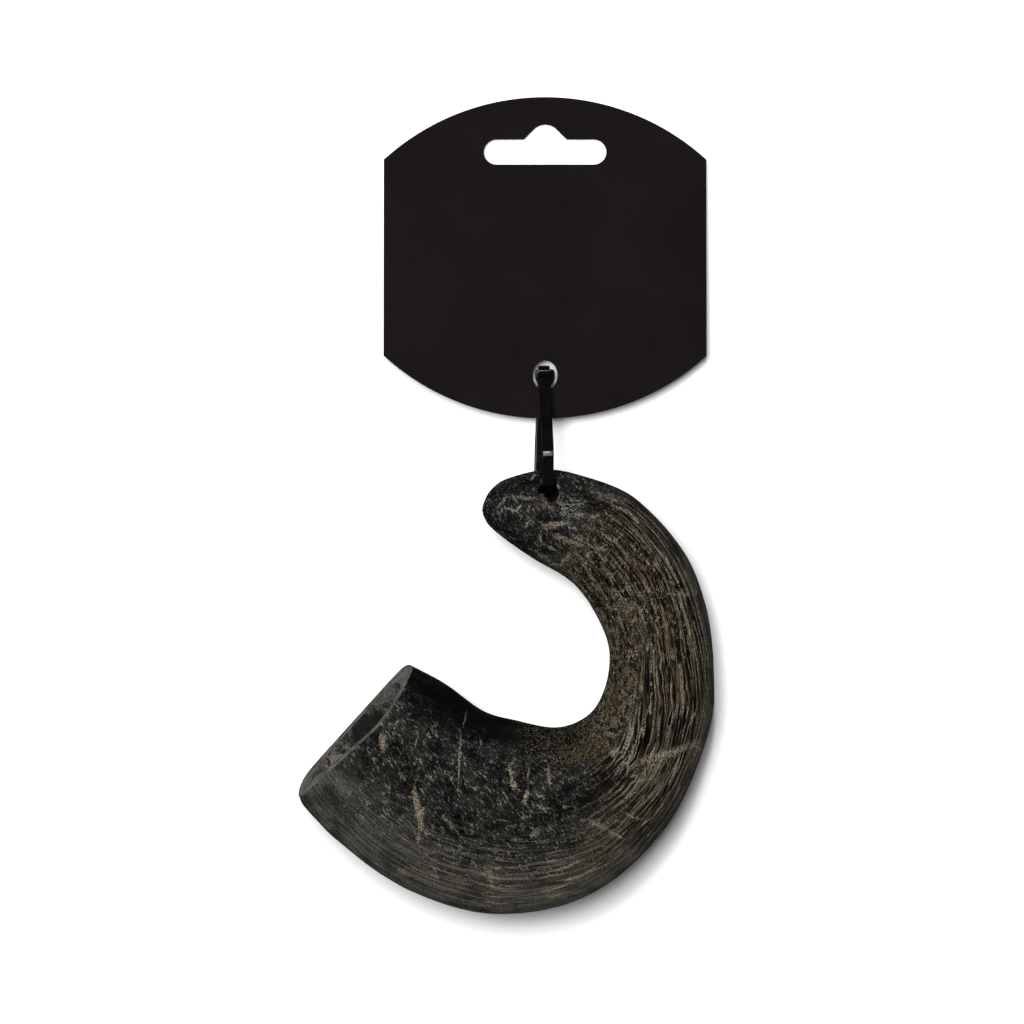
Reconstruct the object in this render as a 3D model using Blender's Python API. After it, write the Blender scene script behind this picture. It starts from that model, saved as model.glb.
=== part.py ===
"""Water buffalo horn, sawn at the base and drilled at the tip, with its cable tie and blank hang card.

The horn lies on its side, as it would on a table, with the card beyond its tip. Z is up and Y runs
from the belly of the horn to the top of the card. The origin is on the table, under the middle of
the whole object. Lengths are in millimetres and become metres where a mesh is made.
"""

from math import atan2, cos, pi, radians, sin, sqrt, tan

import bmesh
import bpy
from mathutils import Matrix, Vector

MM = 0.001

# Where the drawing's own origin lies, so that the frame's is under the middle of the whole object.
DRAWING_AT = (0.2, -0.53, 0.0)

# Horn: stations from beyond the sawn base to the tip. Each holds x and y of the outer edge of the
# bend, x and y of its inner edge, and the heights of the underside and of the crown.
HORN_STATIONS = [
    (-59.6, -68.8, -32.8, -35.9, 0.0, 33.0),
    (-53.2, -75.7, -25.7, -41.3, 0.0, 35.0),
    (-44.9, -85.5, -16.0, -46.5, 0.0, 36.5),
    (-25.1, -99.5, -6.2, -53.4, 0.0, 37.5),
    (-2.6, -105.6, 2.1, -55.8, 0.0, 37.5),
    (22.1, -100.2, 12.7, -57.8, 0.0, 36.0),
    (41.9, -82.2, 21.0, -54.6, 0.0, 32.0),
    (52.5, -57.5, 25.3, -47.6, 0.0, 28.5),
    (53.6, -41.0, 26.7, -39.3, 0.1, 26.0),
    (51.8, -26.8, 25.3, -33.0, 0.5, 25.0),
    (45.9, -12.1, 21.0, -24.7, 1.2, 24.2),
    (33.4, 1.8, 15.7, -19.0, 2.4, 23.2),
    (19.7, 7.6, 6.9, -13.8, 3.6, 22.0),
    (10.0, 9.3, 0.3, -9.3, 4.6, 20.8),
    (-0.2, 6.9, -3.6, -6.2, 6.4, 18.8),
    (-4.2, 4.0, -5.5, -3.9, 8.8, 16.4),
    (-6.4, -0.6, -6.4, -0.6, 12.6, 12.6),
]
BASE_STATION = 1
HORN_RINGS = 60
HORN_SIDES = 42
HORN_SHARP_ANGLE = radians(40)
# The rings stand closer together towards the tip, more so for a greater power.
RING_POWER = 1.4

# Cross-section, from the outer edge of the bend up over the crown and back along the underside. Each
# point is how far across it is, 1 at the outer edge and -1 at the inner one, and how far up, 0 at the
# underside and 1 at the crown. The base is close to a triangle, and the tip to an oval.
SECTION_AT_BASE = [
    (1.00, 0.52),
    (0.77, 0.62),
    (0.40, 0.765),
    (0.04, 0.91),
    (-0.29, 1.00),
    (-0.62, 0.83),
    (-0.87, 0.57),
    (-1.00, 0.34),
    (-0.94, 0.06),
    (-0.60, 0.00),
    (-0.10, 0.00),
    (0.42, 0.00),
    (0.80, 0.04),
    (0.97, 0.25),
]
SECTION_AT_TIP = [
    (1.00, 0.46),
    (0.86, 0.70),
    (0.55, 0.89),
    (0.14, 0.98),
    (-0.22, 1.00),
    (-0.58, 0.90),
    (-0.87, 0.70),
    (-1.00, 0.46),
    (-0.88, 0.16),
    (-0.52, 0.02),
    (-0.04, 0.00),
    (0.44, 0.02),
    (0.80, 0.12),
    (0.97, 0.28),
]
# The hollow is blunt at the inner edge of the bend, where the wall over it is thinnest.
SECTION_OF_HOLLOW = [
    (1.00, 0.38),
    (0.80, 0.50),
    (0.45, 0.69),
    (0.06, 0.875),
    (-0.30, 1.00),
    (-0.66, 0.90),
    (-0.92, 0.67),
    (-1.00, 0.42),
    (-0.92, 0.11),
    (-0.58, 0.00),
    (-0.10, 0.00),
    (0.42, 0.00),
    (0.80, 0.05),
    (0.97, 0.20),
]
CROWN_POINT = 4
FLOOR_POINT = 10.5

# Saw cut: square across the horn in plan, and leaning back by this angle.
SAW_MIDDLE = (-39.4, -57.9, 11.0)
SAW_FACING = (-0.742, 0.670)
SAW_LEAN = radians(8.7)
SAW_BLOCK_WIDTH = 90.0
SAW_BLOCK_DEPTH = 30.0

# Hollow left by the bone core: it starts outside the cut, and the power sets how blunt its end is.
WALL_AT_SIDES = 5.4
WALL_AT_CROWN = 3.4
WALL_AT_FLOOR = 4.4
HOLLOW_LENGTH = 82.0
HOLLOW_END_POWER = 2.4
HOLLOW_STARTS_AFTER = 0.5
HOLLOW_RINGS = 26
HOLLOW_SIDES = 28

# Hole drilled through the tip: its middle where it opens on the crown, and the way that it points.
DRILL_AT = (10.85, 3.5, 20.0)
DRILL_FACING = (0.194, 0.156, 1.0)
DRILL_DIAMETER = 5.4
DRILL_LENGTH = 80.0
DRILL_SIDES = 32

# Hang card: straight sides, and a shallow arc at the top and at the bottom.
CARD_CENTRE = (9.95, 64.85)
CARD_WIDTH = 84.4
CARD_HEIGHT = 84.4
CARD_SIDE = 51.5
CARD_THICKNESS = 0.5
CARD_TILT = radians(3.5)
CARD_ARC_STEPS = 14

# Slot for a shop hook, above the middle of the card, with a dome in its upper edge. The dome has a
# round top and straight flanks.
SLOT_UP = 27.75
SLOT_LENGTH = 32.1
SLOT_HEIGHT = 6.65
SLOT_DOME_RISE = 3.9
SLOT_DOME_RADIUS = 4.2
SLOT_FLANK = radians(45)
SLOT_END_STEPS = 8
SLOT_DOME_STEPS = 8

# Oval hole for the tie, below the middle of the card.
TIE_HOLE_DOWN = 30.9
TIE_HOLE_WIDTH = 6.5
TIE_HOLE_HEIGHT = 7.8
TIE_HOLE_STEPS = 24

# Cable tie: the strap leaves the head in front of the card, goes down through the tip, and comes
# back under the card and up through its oval hole into the head.
STRAP_WIDTH = 3.0
STRAP_THICKNESS = 1.1
STRAP_ROUTE = [
    (9.9, 32.4, 6.7),
    (9.95, 29.6, 7.1),
    (10.05, 26.6, 8.5),
    (10.2, 23.6, 11.2),
    (10.35, 20.8, 14.4),
    (10.45, 18.2, 17.5),
    (10.55, 16.0, 19.8),
    (10.6, 14.2, 21.0),
    (10.6, 12.8, 21.3),
    (10.6, 10.6, 21.0),
    (10.6, 8.2, 20.7),
    (10.65, 6.1, 20.35),
    (10.55, 4.6, 18.9),
    (10.2, 3.85, 16.4),
    (9.5, 3.2, 13.0),
    (8.8, 2.4, 9.0),
    (8.15, 1.9, 5.6),
    (8.2, 2.5, 3.2),
    (8.4, 4.4, 1.5),
    (8.55, 7.4, 1.0),
    (8.65, 11.6, 1.0),
    (8.8, 17.0, 1.1),
    (9.1, 23.0, 1.5),
    (9.4, 28.6, 2.0),
    (9.5, 33.4, 2.2),
    (9.6, 35.1, 2.7),
    (9.65, 36.0, 4.2),
    (9.65, 35.6, 5.9),
    (9.7, 34.6, 7.3),
    (9.8, 33.6, 8.4),
]
STRAP_STEPS = 3
HEAD_AT = (9.9, 34.0)
HEAD_WIDTH = 5.1
HEAD_TOP = 1.5
HEAD_SHOULDER = -1.0
HEAD_FOOT = -2.8
HEAD_CORNER = 0.9
HEAD_CORNER_STEPS = 3
HEAD_HEIGHTS = (3.7, 4.1, 7.5, 8.0)
HEAD_EDGE = 0.4

HORN_COLOUR = (0.045, 0.042, 0.036)
HORN_ROUGHNESS = 0.5
CARD_COLOUR = (0.010, 0.008, 0.009)
CARD_ROUGHNESS = 0.55
NYLON_COLOUR = (0.006, 0.006, 0.006)
NYLON_ROUGHNESS = 0.3


def clear_scene():
    for old in list(bpy.data.objects):
        bpy.data.objects.remove(old)


def new_collection(name):
    collection = bpy.data.collections.new(name)
    bpy.context.scene.collection.children.link(collection)
    return collection


def principled(name, colour, roughness):
    material = bpy.data.materials.new(name)
    material.use_nodes = True
    shader = material.node_tree.nodes["Principled BSDF"]
    shader.inputs["Base Color"].default_value = (*colour, 1.0)
    shader.inputs["Roughness"].default_value = roughness
    shader.inputs["Metallic"].default_value = 0.0
    return material


def drawing_origin():
    """The empty that every piece and cutter hangs from."""
    if "drawing_origin" in bpy.data.objects:
        return bpy.data.objects["drawing_origin"]
    origin = bpy.data.objects.new("drawing_origin", None)
    bpy.context.scene.collection.objects.link(origin)
    origin.location = Vector(DRAWING_AT) * MM
    return origin


def add_object(name, data, collection, material=None):
    made = bpy.data.objects.new(name, data)
    collection.objects.link(made)
    made.parent = drawing_origin()
    if material:
        data.materials.append(material)
    return made


def smooth_through(knots, rows, at):
    """The rows, one for each knot, joined by a smooth curve and read at one place along it."""
    last = len(knots) - 1
    span = next((i for i in range(last) if at <= knots[i + 1]), last - 1)
    start, end = knots[span], knots[span + 1]
    part = (at - start) / (end - start)

    def slope(i, column):
        low, high = max(i - 1, 0), min(i + 1, last)
        return (rows[high][column] - rows[low][column]) / (knots[high] - knots[low])

    values = []
    for column in range(len(rows[0])):
        rise = end - start
        first, second = rows[span][column], rows[span + 1][column]
        values.append(
            first * (1 + 2 * part) * (1 - part) ** 2
            + second * part**2 * (3 - 2 * part)
            + slope(span, column) * rise * part * (1 - part) ** 2
            - slope(span + 1, column) * rise * part**2 * (1 - part)
        )
    return values


def closed_curve(points, place):
    """The points joined by a smooth closed curve, read at a place from 0 to 1 round it."""
    count = len(points)
    rows = points[-2:] + points + points[:3]
    knots = list(range(-2, count + 3))
    return smooth_through(knots, rows, (place % 1.0) * count)


def distances(points):
    """How far along the points each one is."""
    far = [0.0]
    for before, after in zip(points, points[1:]):
        far.append(far[-1] + (Vector(after) - Vector(before)).length)
    return far


class HornForm:
    """The horn's outside and its hollow, read by distance from the base and place round the section."""

    def __init__(self):
        outer_x, outer_y, inner_x, inner_y, low, top = HORN_STATIONS[-2]
        # The outline turns back at the tip, which rounds it.
        turned = (inner_x, inner_y, outer_x, outer_y, top, low)
        self.rows = HORN_STATIONS + [turned]
        outer = distances([row[0:2] for row in self.rows])
        inner = distances([row[2:4] for row in self.rows])
        reach = [(a + b) / 2 for a, b in zip(outer, inner)]
        self.knots = [far - reach[BASE_STATION] for far in reach]
        self.start = self.knots[0]
        self.length = self.knots[-2]

    def placed(self, along, across, up, sides=0.0, crown=0.0, floor=0.0):
        """The point this far across and up the section, which walls of these thicknesses narrow."""
        section = smooth_through(self.knots, self.rows, along)
        outer, inner = Vector(section[0:2]), Vector(section[2:4])
        low, top = max(section[4], 0.0) + floor, section[5] - crown
        half = (outer - inner) / 2
        if sides:
            half *= max(1 - sides / half.length, 0.0)
        spot = (outer + inner) / 2 + half * across
        return Vector((spot.x, spot.y, low + (top - low) * min(max(up, 0.0), 1.0)))

    def outside(self, along, place):
        share = min(max(along / self.length, 0.0), 1.0)
        at_base = Vector(closed_curve(SECTION_AT_BASE, place))
        at_tip = Vector(closed_curve(SECTION_AT_TIP, place))
        return self.placed(along, *at_base.lerp(at_tip, share))

    def hollow(self, along, place):
        """The wall of the hollow, which narrows to a rounded end."""
        share = max(along, 0.0) / HOLLOW_LENGTH
        room = sqrt(1 - share**HOLLOW_END_POWER)
        across, up = closed_curve(SECTION_OF_HOLLOW, place)
        wall = self.placed(along, across, up, WALL_AT_SIDES, WALL_AT_CROWN, WALL_AT_FLOOR)
        return self.middle(along).lerp(wall, room)

    def middle(self, along):
        crown = self.outside(along, CROWN_POINT / len(SECTION_AT_BASE))
        floor = self.outside(along, FLOOR_POINT / len(SECTION_AT_BASE))
        return (crown + floor) / 2


def loft(rings, first_point=None, last_point=None):
    """A closed mesh through rings of points, capped flat or by a point at either end."""
    mesh = bmesh.new()
    loops = [[mesh.verts.new(point * MM) for point in ring] for ring in rings]
    sides = len(rings[0])
    for lower, upper in zip(loops, loops[1:]):
        for i in range(sides):
            j = (i + 1) % sides
            mesh.faces.new((lower[i], lower[j], upper[j], upper[i]))
    for loop, point in ((loops[0], first_point), (loops[-1], last_point)):
        if point is None:
            mesh.faces.new(loop)
            continue
        pole = mesh.verts.new(point * MM)
        for i in range(sides):
            mesh.faces.new((loop[i], loop[(i + 1) % sides], pole))
    bmesh.ops.recalc_face_normals(mesh, faces=mesh.faces)
    return mesh


def to_data(mesh, name):
    data = bpy.data.meshes.new(name)
    mesh.to_mesh(data)
    mesh.free()
    return data


def ring_places(count):
    return [i / count for i in range(count)]


def horn_body(form, collection, material):
    """The solid horn, longer than the cut."""
    rings = []
    for i in range(HORN_RINGS):
        left = (1 - i / HORN_RINGS) ** RING_POWER
        along = form.length - (form.length - form.start) * left
        rings.append([form.outside(along, place) for place in ring_places(HORN_SIDES)])
    tip = form.outside(form.length, 0.0)
    data = to_data(loft(rings, last_point=tip), "horn")
    horn = add_object("horn", data, collection, material)
    data.shade_smooth()
    data.set_sharp_from_angle(angle=HORN_SHARP_ANGLE)
    return horn


def hollow_cutter(form, collection):
    rings = []
    first = form.start + HOLLOW_STARTS_AFTER
    for i in range(HOLLOW_RINGS):
        along = first + (HOLLOW_LENGTH - first) * sin(i / HOLLOW_RINGS * pi / 2)
        rings.append([form.hollow(along, place) for place in ring_places(HOLLOW_SIDES)])
    data = to_data(loft(rings, last_point=form.middle(HOLLOW_LENGTH)), "hollow")
    return add_object("hollow_cutter", data, collection)


def saw_cutter(collection):
    """A block whose face is the saw cut: everything outside the cut is inside the block."""
    size = Vector((SAW_BLOCK_WIDTH, SAW_BLOCK_WIDTH, SAW_BLOCK_DEPTH)) * MM
    mesh = bmesh.new()
    bmesh.ops.create_cube(mesh, size=1.0)
    bmesh.ops.scale(mesh, vec=size, verts=mesh.verts)
    bmesh.ops.translate(mesh, vec=(0, 0, size.z / 2), verts=mesh.verts)
    block = add_object("saw_cutter", to_data(mesh, "saw"), collection)
    facing = Vector((*SAW_FACING, tan(SAW_LEAN))).normalized()
    turn = facing.to_track_quat("Z", "Y")
    block.matrix_local = Matrix.LocRotScale(Vector(SAW_MIDDLE) * MM, turn, None)
    return block


def drill_cutter(collection):
    mesh = bmesh.new()
    bmesh.ops.create_cone(
        mesh,
        cap_ends=True,
        segments=DRILL_SIDES,
        radius1=DRILL_DIAMETER / 2 * MM,
        radius2=DRILL_DIAMETER / 2 * MM,
        depth=DRILL_LENGTH * MM,
    )
    drill = add_object("drill_cutter", to_data(mesh, "drill"), collection)
    drill.location = Vector(DRILL_AT) * MM
    drill.rotation_mode = "QUATERNION"
    drill.rotation_quaternion = Vector(DRILL_FACING).to_track_quat("Z", "Y")
    return drill


def cut(target, cutter):
    cutter.hide_render = True
    cutter.display_type = "WIRE"
    modifier = target.modifiers.new(cutter.name, "BOOLEAN")
    modifier.operation = "DIFFERENCE"
    modifier.object = cutter
    modifier.solver = "EXACT"


def make_horn(parts, cutters):
    form = HornForm()
    horn = horn_body(form, parts, principled("horn", HORN_COLOUR, HORN_ROUGHNESS))
    for cutter in (hollow_cutter(form, cutters), saw_cutter(cutters), drill_cutter(cutters)):
        cut(horn, cutter)
    return horn


def arc_points(centre, radius, start, end, steps):
    """Points on an arc from one angle to another, both ends among them."""
    angles = [start + (end - start) * i / steps for i in range(steps + 1)]
    return [(centre[0] + radius * cos(a), centre[1] + radius * sin(a)) for a in angles]


def card_outline():
    """Up the right side, over the top arc, down the left side and along the bottom arc."""
    half_width, half_side = CARD_WIDTH / 2, CARD_SIDE / 2
    rise = CARD_HEIGHT / 2 - half_side
    radius = (half_width**2 + rise**2) / (2 * rise)
    down = CARD_HEIGHT / 2 - radius
    edge = atan2(half_side - down, half_width)
    top = arc_points((0, down), radius, edge, pi - edge, CARD_ARC_STEPS)
    return top + [(-x, -y) for x, y in top]


def slot_outline():
    """A long slot with round ends, and a dome standing on its upper edge."""
    round_end = SLOT_HEIGHT / 2
    end_x = SLOT_LENGTH / 2 - round_end
    upper_edge = SLOT_UP + round_end
    dome_y = upper_edge + SLOT_DOME_RISE - SLOT_DOME_RADIUS
    # The flanks leave the round top where it has their slope, and run down to the upper edge.
    leaves = pi / 2 - SLOT_FLANK
    dome = arc_points((0, dome_y), SLOT_DOME_RADIUS, leaves, pi - leaves, SLOT_DOME_STEPS)
    foot_x = dome[0][0] + (dome[0][1] - upper_edge) / tan(SLOT_FLANK)
    right = arc_points((end_x, SLOT_UP), round_end, -pi / 2, pi / 2, SLOT_END_STEPS)
    left = arc_points((-end_x, SLOT_UP), round_end, pi / 2, 3 * pi / 2, SLOT_END_STEPS)
    return right + [(foot_x, upper_edge)] + dome + [(-foot_x, upper_edge)] + left


def tie_hole_outline():
    angles = [2 * pi * i / TIE_HOLE_STEPS for i in range(TIE_HOLE_STEPS)]
    half_width, half_height = TIE_HOLE_WIDTH / 2, TIE_HOLE_HEIGHT / 2
    return [(half_width * cos(a), half_height * sin(a) - TIE_HOLE_DOWN) for a in angles]


def make_card(parts):
    """The die-cut card, which leans on the tie and touches the table with its top."""
    flat = bpy.data.curves.new("hang_card", "CURVE")
    flat.dimensions = "2D"
    flat.fill_mode = "BOTH"
    flat.extrude = CARD_THICKNESS / 2 * MM
    for outline in (card_outline(), slot_outline(), tie_hole_outline()):
        spline = flat.splines.new("POLY")
        spline.points.add(len(outline) - 1)
        for point, (x, y) in zip(spline.points, outline):
            point.co = (x * MM, y * MM, 0, 1)
        spline.use_cyclic_u = True
    card = add_object("hang_card", flat, parts, principled("card", CARD_COLOUR, CARD_ROUGHNESS))
    # The card turns about the lower edge at the top of its top arc.
    half = CARD_HEIGHT / 2
    rise = half * sin(CARD_TILT) + CARD_THICKNESS / 2 * cos(CARD_TILT)
    card.location = Vector((*CARD_CENTRE, rise)) * MM
    card.rotation_euler = (-CARD_TILT, 0, 0)
    return card


def strap_middle():
    """The strap's middle line, smooth through its route."""
    knots = distances(STRAP_ROUTE)
    line = []
    for start, end in zip(knots, knots[1:]):
        for step in range(STRAP_STEPS):
            at = start + (end - start) * step / STRAP_STEPS
            line.append(Vector(smooth_through(knots, STRAP_ROUTE, at)))
    line.append(Vector(STRAP_ROUTE[-1]))
    return line


def strap_body(collection):
    """A flat strap whose width stays level while it follows its route."""
    line = strap_middle()
    side = Vector((STRAP_WIDTH / 2, 0, 0))
    rings = []
    for i, point in enumerate(line):
        tangent = line[min(i + 1, len(line) - 1)] - line[max(i - 1, 0)]
        normal = Vector((0, -tangent.z, tangent.y)).normalized()
        out = normal * STRAP_THICKNESS / 2
        rings.append([point + side + out, point - side + out, point - side - out, point + side - out])
    return add_object("cable_tie", to_data(loft(rings), "cable_tie"), collection)


def head_outline(inset):
    """The head from above: round corners at the top, and shoulders that narrow to the strap."""
    half, foot_half = HEAD_WIDTH / 2 - inset, STRAP_WIDTH / 2 - inset
    corner = (half - HEAD_CORNER, HEAD_TOP - inset - HEAD_CORNER)
    round_corner = arc_points(corner, HEAD_CORNER, 0, pi / 2, HEAD_CORNER_STEPS)
    right = [(foot_half, HEAD_FOOT + inset), (half, HEAD_SHOULDER)] + round_corner
    return right + [(-x, y) for x, y in reversed(right)]


def head_body(collection):
    """The locking head, with its front and back edges rounded off."""
    rings = []
    for height, inset in zip(HEAD_HEIGHTS, (HEAD_EDGE, 0.0, 0.0, HEAD_EDGE)):
        outline = head_outline(inset)
        rings.append([Vector((HEAD_AT[0] + x, HEAD_AT[1] + y, height)) for x, y in outline])
    return add_object("tie_head", to_data(loft(rings), "tie_head"), collection)


def make_tie(parts, cutters):
    tie = strap_body(parts)
    tie.data.materials.append(principled("nylon", NYLON_COLOUR, NYLON_ROUGHNESS))
    head = head_body(cutters)
    head.hide_render = True
    head.display_type = "WIRE"
    join = tie.modifiers.new("head", "BOOLEAN")
    join.operation = "UNION"
    join.object = head
    join.solver = "EXACT"
    return tie


def main():
    clear_scene()
    parts = new_collection("water_buffalo_horn")
    cutters = new_collection("cutters")
    make_horn(parts, cutters)
    make_card(parts)
    make_tie(parts, cutters)


main()
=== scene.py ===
"""Looks of the water buffalo horn on its hang card: the grown surface of the horn with its sawn rim,
hollow and drilled hole, the nylon tie, the coated card, and the table, light and camera.

Lengths are in millimetres in the drawing of the solids, and become metres where a mesh is made.
"""

from contextlib import contextmanager
from math import atan2, cos, pi, radians, sin, tan

import bmesh
import bpy
import numpy as np
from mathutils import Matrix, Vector


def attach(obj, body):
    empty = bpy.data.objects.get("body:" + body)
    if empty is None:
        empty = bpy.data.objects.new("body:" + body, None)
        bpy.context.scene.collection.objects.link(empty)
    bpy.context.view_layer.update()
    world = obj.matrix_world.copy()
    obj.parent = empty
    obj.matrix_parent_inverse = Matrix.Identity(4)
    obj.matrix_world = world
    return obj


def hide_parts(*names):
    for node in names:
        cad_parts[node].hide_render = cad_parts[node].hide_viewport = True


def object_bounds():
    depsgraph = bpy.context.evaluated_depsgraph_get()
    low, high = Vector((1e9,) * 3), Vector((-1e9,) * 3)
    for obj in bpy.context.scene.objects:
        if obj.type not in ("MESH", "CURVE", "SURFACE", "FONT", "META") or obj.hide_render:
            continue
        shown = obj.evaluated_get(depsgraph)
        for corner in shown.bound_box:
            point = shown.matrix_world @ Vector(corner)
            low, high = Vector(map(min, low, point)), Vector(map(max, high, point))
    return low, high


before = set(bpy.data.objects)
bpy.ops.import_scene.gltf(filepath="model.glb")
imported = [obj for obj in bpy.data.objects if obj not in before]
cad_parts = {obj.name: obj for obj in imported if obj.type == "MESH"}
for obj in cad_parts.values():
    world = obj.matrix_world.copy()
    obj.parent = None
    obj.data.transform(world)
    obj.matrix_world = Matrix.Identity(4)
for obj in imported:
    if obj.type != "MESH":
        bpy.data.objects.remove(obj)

SOLIDS_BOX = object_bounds()

MM = 0.001
DRAWING_AT = Vector((0.2, -0.53, 0.0))

# Horn: stations from beyond the sawn base to the tip. Each holds x and y of the outer edge of the
# bend, x and y of its inner edge, and the heights of the underside and of the crown.
HORN_STATIONS = [
    (-59.6, -68.8, -32.8, -35.9, 0.0, 33.0),
    (-53.2, -75.7, -25.7, -41.3, 0.0, 35.0),
    (-44.9, -85.5, -16.0, -46.5, 0.0, 36.5),
    (-25.1, -99.5, -6.2, -53.4, 0.0, 37.5),
    (-2.6, -105.6, 2.1, -55.8, 0.0, 37.5),
    (22.1, -100.2, 12.7, -57.8, 0.0, 36.0),
    (41.9, -82.2, 21.0, -54.6, 0.0, 32.0),
    (52.5, -57.5, 25.3, -47.6, 0.0, 28.5),
    (53.6, -41.0, 26.7, -39.3, 0.1, 26.0),
    (51.8, -26.8, 25.3, -33.0, 0.5, 25.0),
    (45.9, -12.1, 21.0, -24.7, 1.2, 24.2),
    (33.4, 1.8, 15.7, -19.0, 2.4, 23.2),
    (19.7, 7.6, 6.9, -13.8, 3.6, 22.0),
    (10.0, 9.3, 0.3, -9.3, 4.6, 20.8),
    (-0.2, 6.9, -3.6, -6.2, 6.4, 18.8),
    (-4.2, 4.0, -5.5, -3.9, 8.8, 16.4),
    (-6.4, -0.6, -6.4, -0.6, 12.6, 12.6),
]
BASE_STATION = 1

# Cross-section, from the outer edge of the bend up over the crown and back along the underside. Each
# point is how far across it is, 1 at the outer edge and -1 at the inner one, and how far up, 0 at the
# underside and 1 at the crown. The base is close to a triangle, and the tip to an oval.
SECTION_AT_BASE = [
    (1.00, 0.52), (0.77, 0.62), (0.40, 0.765), (0.04, 0.91), (-0.29, 1.00), (-0.62, 0.83),
    (-0.87, 0.57), (-1.00, 0.34), (-0.94, 0.06), (-0.60, 0.00), (-0.10, 0.00), (0.42, 0.00),
    (0.80, 0.04), (0.97, 0.25),
]
SECTION_AT_TIP = [
    (1.00, 0.46), (0.86, 0.70), (0.55, 0.89), (0.14, 0.98), (-0.22, 1.00), (-0.58, 0.90),
    (-0.87, 0.70), (-1.00, 0.46), (-0.88, 0.16), (-0.52, 0.02), (-0.04, 0.00), (0.44, 0.02),
    (0.80, 0.12), (0.97, 0.28),
]
# The hollow is blunt at the inner edge of the bend, where the wall over it is thinnest.
SECTION_OF_HOLLOW = [
    (1.00, 0.38), (0.80, 0.50), (0.45, 0.69), (0.06, 0.875), (-0.30, 1.00), (-0.66, 0.90),
    (-0.92, 0.67), (-1.00, 0.42), (-0.92, 0.11), (-0.58, 0.00), (-0.10, 0.00), (0.42, 0.00),
    (0.80, 0.05), (0.97, 0.20),
]
CROWN_POINT = 4
FLOOR_POINT = 10.5

# Saw cut, hollow and drilled hole.
SAW_MIDDLE = np.array((-39.4, -57.9, 11.0))
SAW_FACING = np.array((-0.742, 0.670, tan(radians(8.7))))
SAW_FACING /= np.linalg.norm(SAW_FACING)
WALL_AT_SIDES = 5.4
WALL_AT_CROWN = 3.4
WALL_AT_FLOOR = 4.4
HOLLOW_LENGTH = 82.0
HOLLOW_END_POWER = 2.4
DRILL_AT = (10.85, 3.5, 20.0)
DRILL_FACING = (0.194, 0.156, 1.0)
DRILL_DIAMETER = 5.4
DRILL_LENGTH = 80.0
DRILL_SIDES = 64
DRILL_WALL_SLACK = 0.02

# How fine the horn's mesh is.
CROWN_COLUMNS = 184
UNDERSIDE_COLUMNS = 96
BODY_RINGS = 232
TIP_RINGS = 66
TIP_REACH = 24.0
HOLLOW_RINGS = 24
RIM_RINGS = 4
LIP = 0.2
LIP_RINGS = 3
FIELD_SEED, RELIEF_SEEDS, MARK_SEED = 11, (21, 22, 23), 31
CUT_SEARCH_END = 40.0
CUT_SEARCH_STEPS = 40
BOX_MARGIN = 0.00002


def smoothstep(low, high, value):
    share = np.clip((value - low) / (high - low), 0.0, 1.0)
    return share * share * (3 - 2 * share)


def fading(value, hold, end):
    """Full up to the hold, and falls to nothing at the end."""
    return 1 - smoothstep(hold, end, value)


def window(value, start, full, hold, end):
    """Rises from nothing at the start to full, holds, and falls to nothing at the end."""
    return smoothstep(start, full, value) * fading(value, hold, end)


class SmoothNoise:
    """Seeded random values on a cubic lattice, joined smoothly, from about -1 to 1."""

    SIZE = 48
    LAYER_SHIFT = 7.3
    LAYERED_REACH = 1.6

    def __init__(self, seed):
        self.values = np.random.default_rng(seed).uniform(-1.0, 1.0, (self.SIZE,) * 3)

    def __call__(self, points):
        cell = np.floor(points).astype(int)
        part = points - cell
        part = part * part * (3 - 2 * part)
        total = np.zeros(points.shape[:-1])
        for corner in np.ndindex(2, 2, 2):
            weight = np.ones(points.shape[:-1])
            for axis in range(3):
                share = part[..., axis]
                weight = weight * (share if corner[axis] else 1 - share)
            index = (cell + corner) % self.SIZE
            total += weight * self.values[index[..., 0], index[..., 1], index[..., 2]]
        return total

    def layered(self, points, layers=3):
        """Finer layers added at half the strength each."""
        total = np.zeros(points.shape[:-1])
        for layer in range(layers):
            total += self(points * 2.0**layer + self.LAYER_SHIFT * layer) / 2.0**layer
        return total / self.LAYERED_REACH


def travelled(points):
    steps = np.linalg.norm(np.diff(points, axis=0), axis=1)
    return np.concatenate([[0.0], np.cumsum(steps)])


def smooth_through(knots, rows, at):
    """The rows, one for each knot, joined by a smooth curve and read at places along it."""
    low = np.maximum(np.arange(len(knots)) - 1, 0)
    high = np.minimum(np.arange(len(knots)) + 1, len(knots) - 1)
    slopes = (rows[high] - rows[low]) / (knots[high] - knots[low])[:, None]
    span = np.clip(np.searchsorted(knots, at) - 1, 0, len(knots) - 2)
    rise = (knots[span + 1] - knots[span])[..., None]
    part = (at - knots[span])[..., None] / rise
    return (
        rows[span] * (1 + 2 * part) * (1 - part) ** 2
        + rows[span + 1] * part**2 * (3 - 2 * part)
        + slopes[span] * rise * part * (1 - part) ** 2
        - slopes[span + 1] * rise * part**2 * (1 - part)
    )


def closed_curve(points, place):
    """The points joined by a smooth closed curve, read at places from 0 to 1 round it."""
    count = len(points)
    rows = np.array(points[-2:] + points + points[:3])
    knots = np.arange(-2.0, count + 3)
    return smooth_through(knots, rows, np.mod(place, 1.0) * count)


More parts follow.
